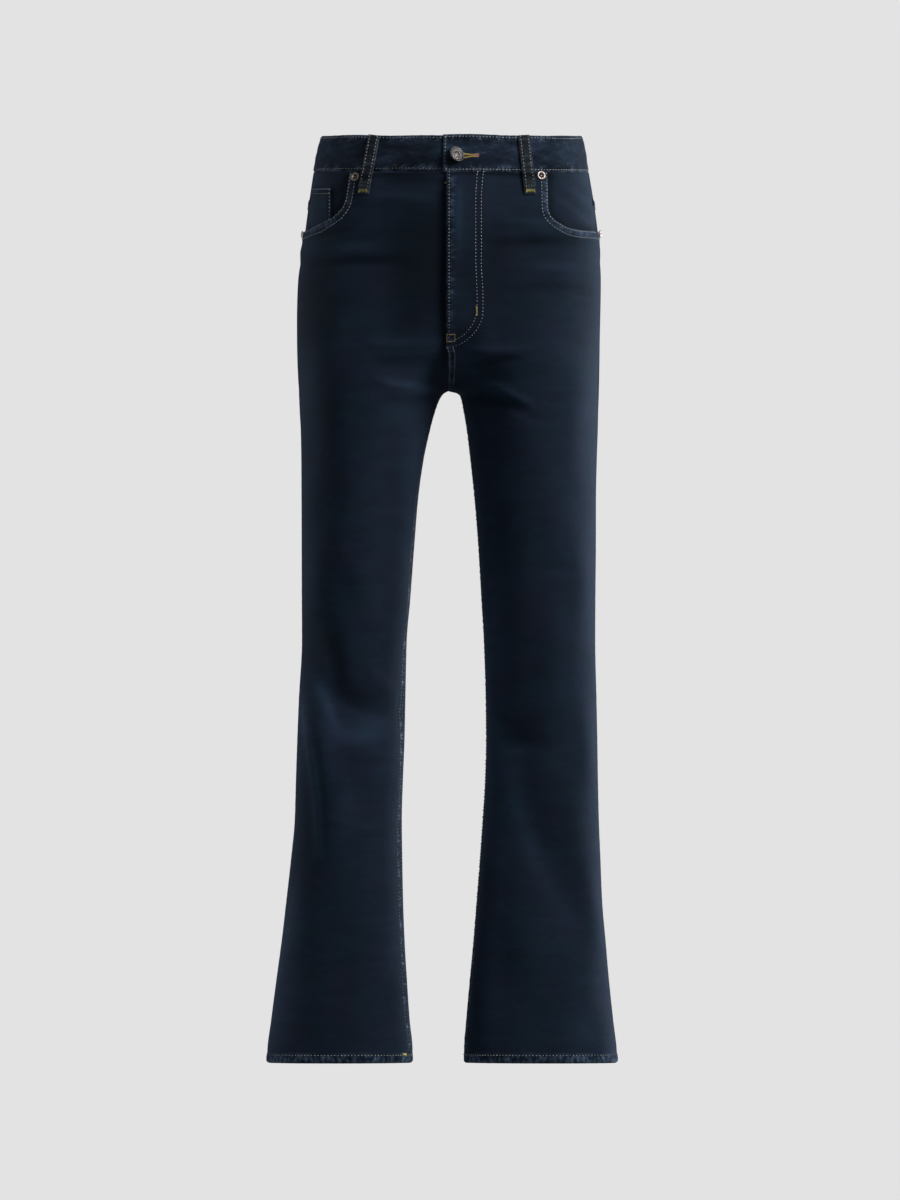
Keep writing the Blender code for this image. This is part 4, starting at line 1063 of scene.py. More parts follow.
def front_panel(half):
    """A front: its grid of outer points with everything that lifts it, and its shell."""
    share = crowded(*GRIDS["front"])
    edge_x, edge_z = edge_curve(half, EDGE_ROWS)
    count = EDGE_ROWS - 1
    heights, fractions = [], []
    reach = fraction_at(half, "front", edge_z, edge_x)
    reach[-1] = 1.0
    for index in range(count + 1):
        base = PANEL_TOP + (POCKET_ROW_CENTRE - PANEL_TOP) * index / count
        part = share * reach[index]
        depth = spot(half, "front", base, part)[:, 1]
        height = level(base, depth)
        end = min(edge_z[index], level(PANEL_TOP, depth[-1])) - height[-1]
        heights.append(height + end * share**EDGE_SWEEP)
        fractions.append(part)
    for base in rows_to_hem(POCKET_ROW_CENTRE - 0.0024, FRONT_STEP, FRONT_HEM_ROWS):
        part = np.clip((base - SETTLED) / (POCKET_ROW_CENTRE - 0.007 - SETTLED), 0.0, 1.0)
        rise = (POCKET_ROW_SIDE - POCKET_ROW_CENTRE) * part
        depth = spot(half, "front", base, share)[:, 1]
        heights.append(level(base, depth) + rise * share**EDGE_SWEEP)
        fractions.append(share)
    heights, fractions = np.array(heights), np.array(fractions)
    points = spot(half, "front", heights, fractions)
    facing = normals(half, points)
    length = row_length(half, "front", heights)
    from_seam = fractions * length
    from_side = (1.0 - fractions) * length
    from_hem = points[..., 2] - level(HEM, points[..., 1])
    edge_line = spot(half, "front", edge_z, reach)
    from_edge, along_edge = nearest(points, edge_line)
    lift = crease_lift(half, "front", points) + front_lift(half, points)
    lift += folded_edge(from_edge) + pucker(from_edge, along_edge, *GATHERS["pocket"])
    below = smooth_step(-points[..., 2], *SIDE_GATHERS_FROM)
    lift += below * pucker(from_side, points[..., 2], *GATHERS["side"])
    above_crotch = smooth_step(points[..., 2], CROTCH - CROTCH_BLEND, CROTCH + CROTCH_BLEND)
    if half == "left":
        fly = folded_edge(np.maximum(from_seam, 0.0)) * above_crotch
        lift += fly + above_crotch * pucker(from_seam, points[..., 2], *GATHERS["fly"])
        down = -points[..., 2]
        height, middle, width = PLACKET
        placket = smooth_step(down, *PLACKET_STARTS) * fall(down, *PLACKET_ENDS)
        lift += height * placket * bump(from_seam, middle, width)
    lift += (1 - above_crotch) * pucker(from_seam, points[..., 2], *GATHERS["inseam"])
    lift += hem_relief(from_hem, from_side)
    top_dip = TOP_DIP[0] * bump(points[..., 2], level(PANEL_TOP, points[..., 1]), TOP_DIP[1])
    outer = points + facing * (lift - top_dip)[..., None]
    if half == "left":
        overlap = FLY_OVERLAP * fall(points[..., 0], 0.0, FLY_OVERLAP_TO)
        outer[..., 0] -= overlap * smooth_step(points[..., 2], FLY_BOTTOM - FLY_OVERLAP_END, FLY_BOTTOM)
    wear = worn("pocket", from_edge) + worn_beside(from_edge, *POCKET_WORN)
    wear += hem_wear(from_hem, from_side)
    seam = strength("inseam", from_seam) * np.where(above_crotch > 0.5, ROPE_ABOVE_CROTCH[half], 1.0)
    rope = roped(
        (from_edge, along_edge, strength("pocket", from_edge)),
        (from_seam, points[..., 2], seam),
        (from_side, points[..., 2], below * strength("side", from_side)),
        (from_hem, from_side, hem_strength(from_hem)),
    )
    if half == "left":
        wear += above_crotch * (worn("fly", from_seam) + worn("fly_row", from_seam))
    wall = np.where(from_hem < HEM_TURN, HEM_WALL, WALL)
    uv = np.stack([-from_side * SIGN[half], points[..., 2]], axis=-1)
    return shell(half, outer, facing, wall, uv, wear, rope)


def back_panel(half):
    """A back, from the yoke to its turned-up hem."""
    share = crowded(*GRIDS["back"])
    settle = np.linspace(0.0, 1.0, YOKE_ROWS)[:-1, None]
    top = yoke_seam(share) - SEAM_GAP / 2
    low = rows_to_hem(BACK_LEVEL, BACK_STEP, BACK_HEM_ROWS)[:, None]
    depth = spot(half, "back", low, share)[..., 1]
    heights = np.concatenate([top + (BACK_LEVEL - top) * settle, level(low, depth)])
    fractions = np.broadcast_to(share, heights.shape)
    points = spot(half, "back", heights, fractions)
    facing = normals(half, points)
    length = row_length(half, "back", heights)
    from_seam = fractions * length
    from_side = (1.0 - fractions) * length
    from_hem = points[..., 2] - level(HEM, points[..., 1])
    from_yoke = yoke_seam(fractions) - points[..., 2]
    lift = crease_lift(half, "back", points)
    lift += pucker(from_side, points[..., 2], *GATHERS["side"])
    lift += pucker(from_seam, points[..., 2], *GATHERS["centre_back"])
    lift += hem_relief(from_hem, from_side)
    lift -= YOKE_DIP[0] * bump(from_yoke, 0.0, YOKE_DIP[1])
    outer = points + facing * lift[..., None]
    wear = hem_wear(from_hem, from_side)
    rope = roped(
        (from_seam, points[..., 2], strength("centre_back", from_seam)),
        (from_side, points[..., 2], strength("side", from_side)),
        (from_hem, from_side, hem_strength(from_hem)),
    )
    wall = np.where(from_hem < HEM_TURN, HEM_WALL, WALL)
    uv = np.stack([from_side * SIGN[half], points[..., 2]], axis=-1)
    return shell(half, outer, facing, wall, uv, wear, rope)


def yoke_seam(share):
    """Height of the yoke seam, from the centre back to the side."""
    return YOKE_CENTRE + (YOKE_SIDE - YOKE_CENTRE) * np.asarray(share, float) ** YOKE_SWEEP


def yoke(half):
    """The piece between the waistband and the back, felled over the back."""
    share = crowded(*GRIDS["yoke"])
    depth = spot(half, "back", PANEL_TOP, share)[:, 1]
    high = level(PANEL_TOP, depth)
    low = yoke_seam(share) + SEAM_GAP / 2
    part = crowded(*GRIDS["yoke_down"])[:, None]
    heights = high + (low - high) * part
    fractions = np.broadcast_to(share, heights.shape)
    points = spot(half, "back", heights, fractions)
    facing = normals(half, points)
    from_low = (points[..., 2] - low) * 0.97
    from_seam = fractions * row_length(half, "back", heights)
    lift = crease_lift(half, "back", points) + folded_edge(from_low) + folded_edge(from_seam) * 0.6
    lift += pucker(from_low, from_seam, *GATHERS["yoke"])
    outer = points + facing * lift[..., None]
    wear = worn("yoke", from_low) + worn("centre_back", from_seam)
    rope = roped((from_low, from_seam, strength("yoke", from_low)))
    uv = np.stack([-from_seam * SIGN[half], points[..., 2]], axis=-1)
    return shell(half, outer, facing, WALL, uv, wear, rope)


def pocket_facing(half):
    """The denim behind the pocket opening, from under the front to the waistband and the side seam."""
    rows, columns = FACING_GRID
    edge_x, edge_z = edge_curve(half, rows)
    slope_x, slope_z = np.gradient(edge_x), np.gradient(edge_z)
    steep = np.hypot(slope_x, slope_z)
    under_x = edge_x + slope_z / steep * POCKET_MARGIN
    under_z = edge_z - slope_x / steep * POCKET_MARGIN
    share = np.linspace(0.0, 1.0, columns)
    start = fraction_at(half, "front", under_z, under_x)
    heights, fractions = [], []
    for index in range(rows):
        down = index / (rows - 1)
        part = start[index] + (1.0 - start[index]) * share
        high = level(PANEL_TOP, spot(half, "front", PANEL_TOP, part)[:, 1])
        inner = min(under_z[index], high[0])
        outer = PANEL_TOP + (under_z[-1] - PANEL_TOP) * down
        blend = smooth_step(down, 0.0, 0.12)
        heights.append(high * (1 - blend) + (inner + (outer - inner) * share) * blend)
        fractions.append(part)
    points = spot(half, "front", np.array(heights), np.array(fractions))
    facing = normals(half, points)
    lift = crease_lift(half, "front", points) * 0.5
    wave = points[..., 0] / FACING_WAVES[0] + points[..., 2] / FACING_WAVES[1]
    lift += FACING_WAVES[2] * np.sin(2 * math.pi * wave) * smooth_step(-points[..., 2], *FACING_WAVES_FROM)
    outer = points + facing * (lift - FACING_SUNK)[..., None]
    uv = np.stack([(points[..., 0] + points[..., 1]) * SIGN[half], points[..., 2]], axis=-1)
    edge_line = spot(half, "front", edge_z, fraction_at(half, "front", edge_z, edge_x))
    # Painted shade on the facing, darkest beside the opening's edge
    darkest, low, high = FACING_SHADE
    shade = darkest * fall(nearest(points, edge_line)[0], low, high)
    return shell(half, outer, facing, WALL, uv, np.zeros(outer.shape[:2]), NO_ROPE, shade)


def coin_pocket():
    """The small pocket on the wearer's right facing, down to where the front covers it."""
    edge_x, edge_z = edge_curve("right", EDGE_POINTS)
    rows, columns = COIN_GRID
    across = np.linspace(COIN_X[0], COIN_X[1], columns)
    top = np.interp(across, COIN_X, COIN_TOP)
    low = np.interp(across, edge_x, edge_z) - POCKET_MARGIN / 2
    part = np.linspace(0.0, 1.0, rows)[:, None]
    heights = top + (low - top) * part
    fractions = fraction_at("right", "front", heights, np.broadcast_to(across, heights.shape))
    points = spot("right", "front", heights, fractions)
    facing = normals("right", points)
    from_top = top - points[..., 2]
    from_side = np.abs(points[..., 0] - COIN_X[0])
    lift = COIN_WALL + LAYER_GAP + folded_edge(from_top) + 0.6 * folded_edge(from_side)
    lift += pucker(from_top, points[..., 0], *GATHERS["coin"])
    outer = points + facing * lift[..., None]
    wear = worn("coin_top", from_top) + worn("coin_side", from_side)
    rope = roped((from_top, points[..., 0], strength("coin", from_top)))
    uv = np.stack([-points[..., 0] - points[..., 1], points[..., 2]], axis=-1)
    return shell("right", outer, facing, COIN_WALL, uv, wear, rope)


def fly_shield():
    """The piece under the fly, level with the right front."""
    rows, columns = SHIELD_GRID
    heights = np.linspace(PANEL_TOP, SHIELD_BOTTOM, rows)[:, None]
    distance = np.linspace(SEAM_GAP / 2, SHIELD_WIDTH, columns)
    fractions = fraction_at("left", "front", heights, distance)
    points = spot("left", "front", heights, fractions)
    points = spot("left", "front", level(heights, points[..., 1]), fractions)
    facing = normals("left", points)
    uv = np.stack([points[..., 0], points[..., 2]], axis=-1)
    return shell("left", points, facing, WALL, uv, np.zeros(points.shape[:2]), NO_ROPE)


def back_pocket(half):
    """A patch pocket with a shallow point and a hemmed mouth."""
    share = crowded(*GRIDS["patch"])
    part = crowded(*GRIDS["patch_down"])[:, None]
    left = BACK_POCKET_X[0] + BACK_POCKET_TAPER * part
    right = BACK_POCKET_X[1] - BACK_POCKET_TAPER * part
    across = left + (right - left) * share
    top = BACK_POCKET_TOP[0] + (BACK_POCKET_TOP[1] - BACK_POCKET_TOP[0]) * share
    point = 1.0 - np.abs(2.0 * share - 1.0)
    deep = BACK_POCKET_SIDE_DEPTH + (BACK_POCKET_POINT_DEPTH - BACK_POCKET_SIDE_DEPTH) * point
    heights = top - deep * part
    fractions = fraction_at(half, "back", heights, across)
    points = spot(half, "back", heights, fractions)
    facing = normals(half, points)
    from_top = top - points[..., 2]
    from_low = points[..., 2] - (top - deep)
    from_left = (across - left) * PATCH_STRETCH[0]
    from_right = (right - across) * PATCH_STRETCH[1]
    from_edge = np.minimum(np.minimum(from_left, from_right), from_low * PATCH_STRETCH[2])
    lift = WALL + LAYER_GAP + crease_lift(half, "back", points)
    lift += folded_edge(from_edge) + 0.8 * folded_edge(from_top - 0.004)
    lift += PATCH_PUFF * np.sin(math.pi * share) * np.sin(math.pi * part)
    lift += pucker(from_edge, points[..., 0] + points[..., 2], *GATHERS["patch"])
    outer = points + facing * lift[..., None]
    wear = worn("patch", from_edge) + worn("patch", from_top)
    rope = roped((from_edge, points[..., 0] + points[..., 2], strength("patch", from_edge)))
    uv = np.stack([-points[..., 0] * SIGN[half], points[..., 2]], axis=-1)
    return shell(half, outer, facing, WALL, uv, wear, rope)


def band_place(distance, base):
    """Points and directions of the band's own line, at distances along it from the centre front."""
    order = (("left", "front"), ("left", "back"), ("right", "back"), ("right", "front"))
    lengths = [float(row_length(half, face, base)) for half, face in order]
    girth = sum(lengths)
    where = np.mod(distance, girth)
    points = np.empty((len(where), 3))
    ways = np.empty((len(where), 3))
    start = 0.0
    for index, (half, face) in enumerate(order):
        here = (where >= start) & (where <= start + lengths[index])
        part = (where[here] - start) / lengths[index]
        part = 1.0 - part if index in (1, 3) else part
        depth = spot(half, face, base, part)[:, 1]
        found = spot(half, face, level(base, depth), part)
        points[here] = own_side(half, found)
        ways[here] = own_side(half, normals(half, found))
        start += lengths[index]
    return points, ways, girth


def waistband():
    """One strip round the waist. Its left end lies over its right end at the centre front."""
    girth = band_place(np.zeros(1), -BAND_HEIGHT / 2)[2]
    places = np.concatenate([
        np.arange(-BAND_OVER_END, BAND_FINE_TO, BAND_FINE_STEP),
        np.linspace(BAND_FINE_TO, girth - BAND_MIDDLE_TO, BAND_STEPS[0]),
        np.linspace(girth - BAND_END_FROM, girth + BAND_UNDER_END, BAND_STEPS[1]),
    ])
    lift = BAND_STANDOFF + BAND_OVER_LIFT * fall(places, *BAND_OVER_TO)
    far, near = BAND_UNDER_FROM
    lift = lift - BAND_UNDER_SINK * smooth_step(places, girth - far, girth - near)
    waves = [np.sin(places / length + phase) * height for length, phase, height in BAND_SAGS]
    rises = [height * smooth_step(places, girth - far, girth - near) for height, far, near in BAND_RISES]
    down = crowded(*GRIDS["band_down"])
    rows, ways = [], []
    for part in down:
        points, way, _ = band_place(places, -BAND_HEIGHT * part)
        from_top = BAND_HEIGHT * part
        from_low = BAND_HEIGHT * (1.0 - part)
        edge = min(from_top, from_low)
        relief = 0.0003 - BAND_ROW_DIP * bump(edge, 0.0020, 0.0010) - BAND_ROLL * bump(edge, 0.0, 0.0009)
        relief = relief + BAND_PUFF * math.sin(math.pi * part) ** 0.8
        relief = relief + pucker(edge, places, *GATHERS["band"], part * 2.0)
        blotch = np.sin(places / 0.0091 + 6 * part) * np.sin(places / 0.0263 + 3.0 + 9 * part)
        relief = relief + BAND_BLOTCH * blotch * math.sin(math.pi * part)
        drawn = np.where(points[:, 0] < 0, BAND_DRAWN_IN["right"], BAND_DRAWN_IN["left"]) * np.abs(way[:, 0])
        points = points + way * (lift + relief - drawn)[:, None]
        points[:, 2] += (waves[0] + waves[1] + rises[0]) * (1.0 - part) + (rises[1] + rises[2]) * part
        rows.append(points)
        ways.append(way)
    outer, facing = np.stack(rows), np.stack(ways)
    from_edge = np.minimum(down, 1 - down)[:, None] * BAND_HEIGHT + 0 * places
    wear = worn("band", from_edge) + worn("band_end", places)
    from_low = (1 - down)[:, None] * BAND_HEIGHT + 0 * places
    wear += worn_beside(from_low, *BAND_WORN)
    rope = roped((from_edge, places, strength("band", from_edge)))
    uv = np.stack(np.broadcast_arrays(down[:, None] * BAND_HEIGHT, places), axis=-1)
    return shell("left", outer, facing, BAND_WALL, uv, wear, rope)


def belt_loop(half, face, top_x, bottom_x):
    """A narrow strip over the waistband, folded lengthwise, standing off except at its two ends."""
    rows, columns = LOOP_GRID
    part = np.linspace(0.0, 1.0, rows)
    base = LOOP_BOTTOM * part + LOOP_RISE * (1.0 - part)
    distance = top_x + (bottom_x - top_x) * part
    fractions = fraction_at(half, face, np.minimum(base, 0.0), distance) if top_x else np.zeros(len(part))
    depth = spot(half, face, base, fractions)[:, 1]
    here = spot(half, face, level(base, depth), fractions)
    way = normals(half, here)
    if not top_x:
        here[:, 0] = 0.0
        way[:, 0] = 0.0
    way /= np.linalg.norm(way, axis=1, keepdims=True)
    below_band = smooth_step(-here[:, 2], BAND_HEIGHT + LOOP_LANDS[0], BAND_HEIGHT + LOOP_LANDS[1])
    under = front_lift(half, here) * below_band if face == "front" else 0.0
    clear = np.maximum(BAND_STANDOFF * (1.0 - below_band), under) + LAYER_GAP + LOOP_WALL
    bulge = LOOP_STANDOFF * np.sin(math.pi * np.clip((part - 0.02) / 0.92, 0.0, 1.0)) ** 0.5
    tuck = -LOOP_TUCK * smooth_step(part, 0.93, 1.0)
    centre = here + way * (clear + bulge + tuck)[:, None]
    side = np.cross(way, np.gradient(centre, axis=0))
    side /= np.linalg.norm(side, axis=1, keepdims=True)
    across = np.linspace(-0.5, 0.5, columns)
    edge = (0.5 - np.abs(across)) * LOOP_WIDTH
    relief = 0.00035 - LOOP_ROLL * bump(edge, 0.0, 0.0008) - LOOP_ROW_DIP * bump(edge, LOOP_ROW, 0.0009)
    along = part[:, None] * LOOP_LENGTH
    outer = centre[:, None] + side[:, None] * (across * LOOP_WIDTH)[None, :, None]
    ripple = pucker(edge[None, :], along, *GATHERS["loop"])
    outer = outer + way[:, None] * (relief[None, :] + ripple)[..., None]
    facing = np.repeat(way[:, None], len(across), axis=1)
    wear = np.broadcast_to(worn("loop", edge), outer.shape[:2])
    rope = roped((edge, along, strength("loop", edge)))
    uv = np.stack(np.broadcast_arrays(across * LOOP_WIDTH, along), axis=-1)
    return shell(half, outer, facing, LOOP_WALL, uv, wear, rope)


class Surface:
    """Finds the nearest place on a piece of cloth, so that threads and metal lie on it."""

    def __init__(self, outer):
        faces = grid_faces(*outer.shape[:2])
        self.tree = BVHTree.FromPolygons(outer.reshape(-1, 3).tolist(), faces.tolist())

    def lay(self, line, facing, lift):
        """The line's points moved onto the cloth and out by lift, and the cloth's directions there."""
        out, ways = [], []
        for point, way in zip(line, facing):
            place, normal, _, _ = self.tree.find_nearest(Vector(point))
            if normal.dot(Vector(way)) < 0:
                normal = -normal
            out.append(place + normal * lift)
            ways.append(normal)
        return np.array(out), np.array(ways)


def form_line(half, face, heights, fractions):
    """A line of points on the plain form, on its own side of the body, and the cloth's directions there."""
    points = spot(half, face, heights, fractions)
    return own_side(half, points), own_side(half, normals(half, points))


def shifted(line, facing, distance):
    """A line moved sideways on the cloth, to its left as it runs, seen from outside."""
    along = np.gradient(line, axis=0)
    side = np.cross(facing, along)
    side /= np.linalg.norm(side, axis=1, keepdims=True)
    return line + side * distance


def smooth_line(points, count):
    """Even points on a smooth curve through a few points of (distance, height)."""
    points = np.asarray(points, float)
    length = np.concatenate([[0.0], np.cumsum(np.linalg.norm(np.diff(points, axis=0), axis=1))])
    fine = np.linspace(0.0, length[-1], count)
    table = {"height": -length, "x": points[:, 0], "z": points[:, 1]}
    return column(table, "x", -fine), column(table, "z", -fine)


def map_line(half, face, points, count=60):
    """A line on the form through a few points given as seen from the front or back."""
    x, z = smooth_line(points, count)
    if face == "front":
        place = np.stack([x * SIGN[half], front_depth(half, np.abs(x), z), z], axis=1)
        return place, own_side(half, normals(half, own_side(half, place)))
    return form_line(half, face, z, fraction_at(half, face, z, x))


def bartack(centre, way, along, length, width, turns):
    """The zigzag of a bartack, about its centre on the cloth."""
    along = np.asarray(along) / np.linalg.norm(along)
    across = np.cross(way, along)
    across /= np.linalg.norm(across)
    steps = np.arange(2 * turns + 1)
    run = (steps / (2 * turns) - 0.5) * length
    swing = np.where(steps % 2 == 0, 0.5, -0.5) * width
    return centre + along * run[:, None] + across * swing[:, None] + way * 0.0003


def thread_curve(name, lines):
    """A curve object with one straight-sided spline for each line."""
    data = bpy.data.curves.new(name, "CURVE")
    data.dimensions = "3D"
    for line in lines:
        spline = data.splines.new("POLY")
        spline.points.add(len(line) - 1)
        places = np.concatenate([line, np.ones((len(line), 1))], axis=1)
        spline.points.foreach_set("co", places.astype(np.float32).ravel())
    return placed(name, data)


def new_tree(name, inputs):
    """A Geometry Nodes tree with named inputs and one geometry output."""
    tree = bpy.data.node_groups.new(name, "GeometryNodeTree")
    tree.interface.new_socket("Geometry", in_out="INPUT", socket_type="NodeSocketGeometry")
    for label, kind, value in inputs:
        socket = tree.interface.new_socket(label, in_out="INPUT", socket_type=kind)
        if value is not None:
            socket.default_value = value
    tree.interface.new_socket("Geometry", in_out="OUTPUT", socket_type="NodeSocketGeometry")
    return tree, tree.nodes.new("NodeGroupInput").outputs, tree.nodes.new("NodeGroupOutput").inputs


def finish_tree(tree, given, result, geometry):
    """Ends a tree: instances made real, smooth, and given the material."""
    real = linked(tree, "GeometryNodeRealizeInstances", {"Geometry": geometry})
    smooth = linked(tree, "GeometryNodeSetShadeSmooth", {"Geometry": real.outputs["Geometry"]})
    finish = linked(tree, "GeometryNodeSetMaterial", {
        "Geometry": smooth.outputs["Geometry"], "Material": given["Material"],
    })
    tree.links.new(finish.outputs["Geometry"], result["Geometry"])


def running_stitch_tree():
    """Stitches along a curve: one rounded grain of thread at each step, a little uneven."""
    tree, given, result = new_tree("running_stitches", (
        ("Start", "NodeSocketFloat", 0.0),
        ("Pitch", "NodeSocketFloat", STITCH_PITCH),
        ("Length", "NodeSocketFloat", STITCH_LENGTH),
        ("Thread", "NodeSocketFloat", THREAD),
        ("Material", "NodeSocketMaterial", None),
    ))
    trimmed = {"Curve": given["Geometry"], 4: given["Start"], 5: LONGEST_ROW}
    trim = linked(tree, "GeometryNodeTrimCurve", trimmed, mode="LENGTH")
    stepped = {"Curve": trim.outputs["Curve"], "Length": given["Pitch"]}
    steps = linked(tree, "GeometryNodeResampleCurve", stepped, mode="LENGTH")
    places = linked(tree, "GeometryNodeCurveToPoints", {"Curve": steps.outputs["Curve"]}, mode="EVALUATED")
    grain = linked(tree, "GeometryNodeMeshUVSphere", {"Segments": 5, "Rings": 4, "Radius": 0.5})
    least, most = UNEVEN_STITCH
    uneven = linked(tree, "FunctionNodeRandomValue", {2: least, 3: most, "Seed": 5}, data_type="FLOAT")
    length = maths(tree, "MULTIPLY", given["Length"], uneven.outputs[1])
    size = linked(tree, "ShaderNodeCombineXYZ", {"X": given["Thread"], "Y": given["Thread"], "Z": length})
    turn = linked(tree, "FunctionNodeAlignRotationToVector", {"Vector": places.outputs["Tangent"]}, axis="Z")
    copies = linked(tree, "GeometryNodeInstanceOnPoints", {
        "Points": places.outputs["Points"], "Instance": grain.outputs["Mesh"],
        "Rotation": turn.outputs["Rotation"], "Scale": size.outputs["Vector"],
    })
    finish_tree(tree, given, result, copies.outputs["Instances"])
    return tree


def laid_thread_tree():
    """A thread laid along a curve, as in a bartack or round a buttonhole."""
    tree, given, result = new_tree("laid_threads", (
        ("Thread", "NodeSocketFloat", THREAD),
        ("Material", "NodeSocketMaterial", None),
    ))
    radius = maths(tree, "MULTIPLY", given["Thread"], 0.5)
    ring = linked(tree, "GeometryNodeCurvePrimitiveCircle", {"Resolution": 5, "Radius": radius})
    sweep = linked(tree, "GeometryNodeCurveToMesh", {
        "Curve": given["Geometry"], "Profile Curve": ring.outputs["Curve"], "Fill Caps": True,
    })
    finish_tree(tree, given, result, sweep.outputs["Mesh"])
    return tree


def threads(name, lines, tree, values):
    """The threads that a tree lays along lines, as a plain mesh object."""
    carrier = thread_curve(name + "_path", lines)
    modifier = carrier.modifiers.new("threads", "NODES")
    modifier.node_group = tree
    for item in tree.interface.items_tree:
        if item.item_type == "SOCKET" and item.in_out == "INPUT" and item.name in values:
            modifier[item.identifier] = values[item.name]
    graph = bpy.context.evaluated_depsgraph_get()
    mesh = bpy.data.meshes.new_from_object(carrier.evaluated_get(graph))
    mesh.name = name
    made = placed(name, mesh)
    bpy.data.objects.remove(carrier, do_unlink=True)
    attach(made, "root")


def new_material(name, rough, specular):
    """A material, its node tree and its shader, with its uniform numbers set."""
    made = bpy.data.materials.new(name)
    made.use_nodes = True
    shader = made.node_tree.nodes["Principled BSDF"]
    shader.inputs["Roughness"].default_value = rough
    shader.inputs["Specular IOR Level"].default_value = specular
    return made, made.node_tree, shader


def linked(tree, kind, inputs, **settings):
    """A new node with its settings, and values or links on its named inputs."""
    node = tree.nodes.new(kind)
    for name, value in settings.items():
        setattr(node, name, value)
    for name, value in inputs.items():
        if isinstance(value, bpy.types.NodeSocket):
            tree.links.new(value, node.inputs[name])
        else:
            node.inputs[name].default_value = value
    return node


def maths(tree, operation, *values, clamp=False):
    """The result of a maths operation on numbers or links."""
    inputs = dict(enumerate(values))
    return linked(tree, "ShaderNodeMath", inputs, operation=operation, use_clamp=clamp).outputs[0]


def noise(tree, place, scale, detail=2.0, rough=0.5):
    """Soft noise at a place, about a half."""
    inputs = {"Vector": place, "Scale": scale, "Detail": detail, "Roughness": rough}
    return linked(tree, "ShaderNodeTexNoise", inputs).outputs["Fac"]


def stretched(tree, place, scale, turn=0.0):
    """A place with its axes scaled, and turned about the third."""
    inputs = {"Vector": place, "Rotation": (0.0, 0.0, turn), "Scale": scale}
    return linked(tree, "ShaderNodeMapping", inputs).outputs[0]


def spread(tree, value, low, high, to_low=0.0, to_high=1.0):
    """A value between low and high, spread over another range and kept inside it."""
    inputs = {"Value": value, "From Min": low, "From Max": high, "To Min": to_low, "To Max": to_high}
    return linked(tree, "ShaderNodeMapRange", inputs).outputs[0]


def mixed(tree, share, first, second):
    """A mix of two colours."""
    return linked(tree, "ShaderNodeMix", {0: share, 6: first, 7: second}, data_type="RGBA").outputs[2]


def scaled(tree, colour, factor):
    """A colour made lighter or darker."""
    return linked(tree, "ShaderNodeVectorMath", {0: colour, "Scale": factor}, operation="SCALE").outputs[0]


def raised(tree, height, strength, distance):
    """The normal of a fine relief."""
    inputs = {"Height": height, "Strength": strength, "Distance": distance}
    return linked(tree, "ShaderNodeBump", inputs).outputs["Normal"]


def object_space(tree):
    """The place on the object itself."""
    return linked(tree, "ShaderNodeTexCoord", {}).outputs["Object"]


